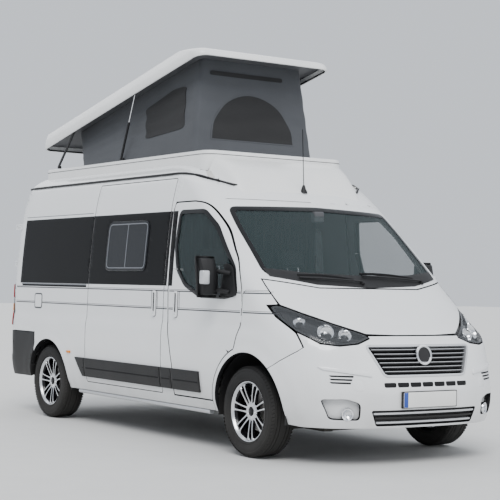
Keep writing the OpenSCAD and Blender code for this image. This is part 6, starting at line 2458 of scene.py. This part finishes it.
@dataclass
class Cabin:
    """Seats, dashboard, steering wheel and what shows of the living space."""

    seat_x: float = 0.43
    wheel_at: tuple[float, float, float] = (0.4, -1.1985, 1.19)
    tilt: float = 42.0

    def build(self) -> None:
        """Builds the inside."""
        for side, word in ((1, "left"), (-1, "right")):
            self.seat(side * self.seat_x, word, side > 0)
        self.dashboard()
        self.steering_wheel()
        self.bed()
        self.curtain()

    def cushion(self, name: str, low: Sequence[float], high: Sequence[float], crown: float, matrix: Matrix,
                pinch: float = 0.5) -> Thing:
        """Crowned cushion whose sides pull in between its corners.

        Args:
            name: Its name.
            low: Lowest corner before it is turned.
            high: Highest corner.
            crown: How far its faces stand out in their middle.
            matrix: Turn and place.
            pinch: How far the sides pull in, as a part of the crown.

        Returns:
            The cushion.
        """
        (x0, y0, z0), (x1, y1, z1) = low, high
        made = slab(name, [(x0, y0, z0), (x1, y0, z0), (x1, y1, z0), (x0, y1, z0)], (0, 0, z1 - z0))
        worked(made, "BEVEL", width=min(x1 - x0, y1 - y0, z1 - z0) * 0.22, segments=3)
        only(made)
        bpy.ops.object.mode_set(mode="EDIT")
        bpy.ops.mesh.select_all(action="SELECT")
        bpy.ops.mesh.subdivide(number_cuts=5, smoothness=0)
        bpy.ops.object.mode_set(mode="OBJECT")
        middle = [(a + b) / 2 for a, b in zip(low, high)]
        reach = [(b - a) / 2 for a, b in zip(low, high)]
        for v in made.data.vertices:
            u = [(v.co[i] - middle[i]) / reach[i] for i in range(3)]
            thin = min(range(3), key=lambda i: reach[i])
            others = [i for i in range(3) if i != thin]
            swell = max(0.0, 1 - u[others[0]] ** 2) * max(0.0, 1 - u[others[1]] ** 2)
            v.co[thin] += math.copysign(crown * swell, u[thin]) * min(1.0, abs(u[thin]) * 1.2)
            for i, j in ((others[0], others[1]), (others[1], others[0])):
                v.co[i] -= u[i] * crown * pinch * max(0.0, 1 - u[j] ** 2) * abs(u[i])
            channel = math.sin(u[others[1]] * math.pi * 4.5)
            v.co[thin] -= math.copysign(0.004 * max(0.0, channel) ** 4, u[thin]) * swell
        worked(made, "SUBSURF", levels=1, render_levels=1)
        softened(made, 0, angle=60)
        return moved(made, matrix)

    def seat(self, x: float, word: str, first: bool) -> None:
        """One cab seat: base, cushion, bolstered back, headrest and armrest.

        Args:
            x: Place across the vehicle.
            word: Word for the side in its name.
            first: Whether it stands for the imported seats.
        """
        y = FRONT_AXLE
        base = brick(f"seat_base_{word}", (x - 0.2, y + 0.84, 0.545), (x + 0.2, y + 1.21, 0.79), 0.02, 3)
        deliver(base, TRIM, Body.ROOT, ["cab_seats"] if first else [])
        still = Matrix.Translation((x, y, 0))
        lean = still @ Matrix.Translation((0, 1.21, 0.86)) @ Matrix.Rotation(math.radians(-14), 4, "X")
        pads = [self.cushion(f"seat_cushion_{word}", (-0.235, 0.76, 0.8), (0.235, 1.22, 0.92), 0.012, still),
                self.cushion(f"seat_back_{word}", (-0.225, 0.005, 0.0), (0.225, 0.115, 0.62), 0.012, lean),
                self.cushion(f"seat_headrest_{word}", (-0.12, 0.03, 0.665), (0.12, 0.11, 0.82), 0.01, lean)]
        for side in (-1, 1):
            pads.append(self.cushion(f"seat_wing_{word}_{'ab'[side > 0]}", (side * 0.2 - 0.035, -0.035, 0.05),
                                     (side * 0.2 + 0.035, 0.06, 0.5), 0.008, lean))
        for pad in pads:
            deliver(pad, SEAT)
        for k, side in enumerate((-1, 1)):
            post = rod(f"headrest_post_{word}_{k}",
                       [lean @ Vector((side * 0.06, 0.06, z)) for z in (0.6, 0.64, 0.69)],
                       0.006, 10)
            deliver(softened(post, 0), CHROME)
            arm = rod(f"armrest_{word}_{k}", [still @ Vector((side * 0.265, ya, 1.08 + 0.01 * (ya < 1.0)))
                                              for ya in (1.24, 1.15, 1.02, 0.93)], 0.026, 14, 0.9)
            deliver(softened(arm, 0, angle=60), TRIM)

    def dashboard(self) -> None:
        """Dashboard with its binnacle, vents, screen and glovebox lid."""
        shape = fillet([(-0.015, 0.875), (-0.052, 1.19), (-0.035, 1.272), (0.005, 1.292), (0.19, 1.303),
                        (0.335, 1.273),
                        (0.395, 1.235), (0.422, 1.15), (0.392, 0.965), (0.325, 0.875)], 0.03)
        half = 0.797
        dash = slab("dash_board", [(-half, FRONT_AXLE + y, z) for y, z in shape], (2 * half, 0, 0))
        deliver(softened(dash, 0.012, 3), TRIM, Body.ROOT, ["dashboard"])
        y = FRONT_AXLE
        pieces = ((-0.62, -0.2, 1.06, 1.07, 0.417, 0.424), (-0.1, 0.14, 1.1, 1.2, 0.402, 0.426),
                  (-0.12, 0.16, 0.9, 0.94, 0.34, 0.375))
        for k, (x0, x1, z0, z1, a, b) in enumerate(pieces):
            panel = brick(f"dash_panel_{k}", (x0, y + a, z0), (x1, y + b, z1), 0.003)
            deliver(panel, GLOSS_BLACK)
        hood = brick("dash_binnacle", (0.24, y + 0.2, 1.29), (0.56, y + 0.36, 1.335), 0.02, 4)
        deliver(hood, TRIM)
        for k, x in enumerate((-0.7, -0.16, 0.2, 0.7)):
            vent = lathed(f"dash_vent_{k}",
                          [(0, 0.0), (0.03, 0.004), (0.036, 0.01), (0.042, 0.008), (0.043, 0), (0.043, -0.03),
                                             (0, -0.03)], 28, "Y")
            moved(vent, Matrix.Translation((x, y + 0.41, 1.19)))
            deliver(softened(vent, 0), GLOSS_BLACK)
        column = self.on_column() @ Matrix.Translation((0, 0, -0.27))
        housing = lathed("column_housing",
                         [(0.0265, 0), (0.046, 0.002), (0.048, 0.07), (0.04, 0.148), (0.0265, 0.15),
                                            (0.0265, 0)], 32, "Z")
        deliver(softened(moved(housing, column), 0), TRIM)

    def on_column(self) -> Matrix:
        """Frame of the steering column."""
        return Matrix.Translation(self.wheel_at) @ Matrix.Rotation(math.radians(self.tilt - 90), 4, "X")

    def steering_wheel(self) -> None:
        """Steering wheel: padded rim, three spokes, boss and shaft."""
        ring = [(0.19 + 0.0145 * math.cos(a), 0.0145 * math.sin(a)) for a in np.linspace(0, 2 * math.pi, 17)]
        rim = lathed("steering_rim", ring, 72, "Z")
        deliver(softened(moved(rim, self.on_column()), 0), SEAL_AND_SHADE, Body.STEERING,
                ["steering_wheel"])
        boss = lathed("steering_boss",
                      [(0, -0.001), (0.04, -0.003), (0.056, -0.012), (0.06, -0.03), (0.024, -0.034),
                                        (0.0238, -0.215), (0, -0.215)], 40, "Z")
        deliver(softened(moved(boss, self.on_column()), 0), TRIM, Body.STEERING)
        for k, a in enumerate((0, 180, 270)):
            spoke = slab(f"steering_spoke_{k}",
                         [(0.045, -0.022, -0.02), (0.1, -0.014, -0.012), (0.18, -0.012, -0.006),
                                                 (0.18, 0.012, -0.006), (0.1, 0.014, -0.012),
                                                 (0.045, 0.022, -0.02)],
                         (0, 0, 0.009))
            moved(spoke, self.on_column() @ Matrix.Rotation(math.radians(a), 4, "Z"))
            deliver(softened(spoke, 0.002), SILVER if a == 270 else TRIM, Body.STEERING)

    def bed(self) -> None:
        """Mattress over the lockers at the back."""
        low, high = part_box("rear_mattress")
        pad = self.cushion("bed_mattress", (low[0] + 0.01, low[1] + 0.01, low[2] + 0.002),
                           (high[0] - 0.01, high[1] - 0.01, high[2] - 0.006), 0.006, Matrix.Identity(4), 0.3)
        deliver(pad, TICKING, Body.ROOT, ["rear_mattress"])

    def curtain(self) -> None:
        """Dark curtain behind the cab seats that hides the living space."""
        count, rows = 120, 8
        width = 1.66
        y = FRONT_AXLE + 1.62
        points = []
        for j in range(rows + 1):
            for i in range(count + 1):
                t = i / count
                wave = 0.018 * math.sin(2 * math.pi * 17 * t) * (0.6 + 0.4 * j / rows)
                points.append((width * (t - 0.5), y + wave, 2.05 - 1.2 * j / rows))
        faces = [(j * (count + 1) + i, (j + 1) * (count + 1) + i, (j + 1) * (count + 1) + i + 1,
                  j * (count + 1) + i + 1)
                 for j in range(rows) for i in range(count)]
        cloth = fresh("cab_curtain", points, faces)
        worked(cloth, "SUBSURF", levels=1, render_levels=1)
        worked(cloth, "SOLIDIFY", thickness=0.001, offset=0)
        softened(cloth, 0, angle=60)
        deliver(cloth, SEAT)
        pole = rod("curtain_pole", [(x, y, 2.062) for x in (-0.86, -0.3, 0.3, 0.86)], 0.009, 12)
        deliver(softened(pole, 0), STEEL)


@dataclass
class Chassis:
    """CAD nodes that keep their shape and only get their finish."""

    finishes: dict[str, Finish] = field(default_factory=lambda: {
        "floor_pan": UNDER, "underframe": UNDER, "rear_axle": UNDER, "engine": CAST, "exhaust": STEEL,
        "fuel_tank": GRAINED, "knuckle_left": CAST, "knuckle_right": CAST, "living_units": WOOD})

    def build(self) -> None:
        """Assigns a finish to each node."""
        for name, finish in self.finishes.items():
            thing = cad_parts[name]
            for place in thing.material_slots:
                place.material = finish.material()
            if not thing.material_slots:
                thing.data.materials.append(finish.material())
            log.info("%s: finish %s", name, finish.name)


@dataclass
class Studio:
    """Floor, soft lights and the camera."""

    eye: tuple[float, float, float] = (-6.96, -10.54, 1.34)
    yaw: float = 34.12
    pitch: float = 1.38
    roll: float = 1.03
    lens: float = 99.1

    def camera(self) -> None:
        """Camera at the viewing angle."""
        data = bpy.data.cameras.new("camera")
        data.lens = self.lens
        data.sensor_width = 36.0
        data.sensor_fit = "HORIZONTAL"
        data.clip_end = 200.0
        camera = bpy.data.objects.new("camera", data)
        bpy.context.scene.collection.objects.link(camera)
        yaw, pitch = math.radians(self.yaw), math.radians(self.pitch)
        ahead = Vector((math.sin(yaw) * math.cos(pitch), math.cos(yaw) * math.cos(pitch), math.sin(pitch)))
        right = ahead.cross(Vector((0, 0, 1))).normalized()
        up = right.cross(ahead)
        turn = Matrix((right, up, -ahead)).transposed() @ Matrix.Rotation(math.radians(self.roll), 3, "Z")
        camera.matrix_world = Matrix.Translation(self.eye) @ turn.to_4x4()
        bpy.context.scene.camera = camera

    def build(self) -> None:
        """Floor, sky light and three soft sun lights."""
        floor_finish = Finish("studio_floor", (0.62, 0.62, 0.61), rough=0.75, grain=60, depth=0.05,
                              mottle=0.02)
        floor = fresh("studio_floor", [(-60, -60, 0), (60, -60, 0), (60, 60, 0), (-60, 60, 0)],
                      [(0, 1, 2, 3)])
        painted(floor, floor_finish)
        world = bpy.data.worlds.new("studio")
        world.use_nodes = True
        back = world.node_tree.nodes["Background"]
        back.inputs["Color"].default_value = (0.88, 0.93, 1.0, 1.0)
        back.inputs["Strength"].default_value = 0.92
        bpy.context.scene.world = world
        for name, place, spread, power in (("key", (-5.0, -6.0, 9.0), 35, 2.7),
                                           ("front", (6.0, -8.0, 6.0), 60, 0.7),
                                           ("back", (2.0, 9.0, 8.0), 60, 0.7)):
            data = bpy.data.lights.new(name, "SUN")
            data.angle = math.radians(spread)
            data.energy = power
            lamp = bpy.data.objects.new(name, data)
            bpy.context.scene.collection.objects.link(lamp)
            lamp.matrix_world = Matrix.Translation(place) @ Vector(place).to_track_quat("Z",
                                                                                        "Y").to_matrix().to_4x4()


def main() -> None:
    logging.basicConfig(level=logging.INFO, format="%(message)s")
    bpy.ops.object.select_all(action="DESELECT")
    studio = Studio()
    studio.camera()
    studio.build()
    for part in (Sides(), FrontDoors(), Nose(), Tail(), Roof(), Wheels(), Cabin(), Chassis()):
        part.build()
        log.info("%s done", type(part).__name__)


if __name__ == "__main__":
    main()
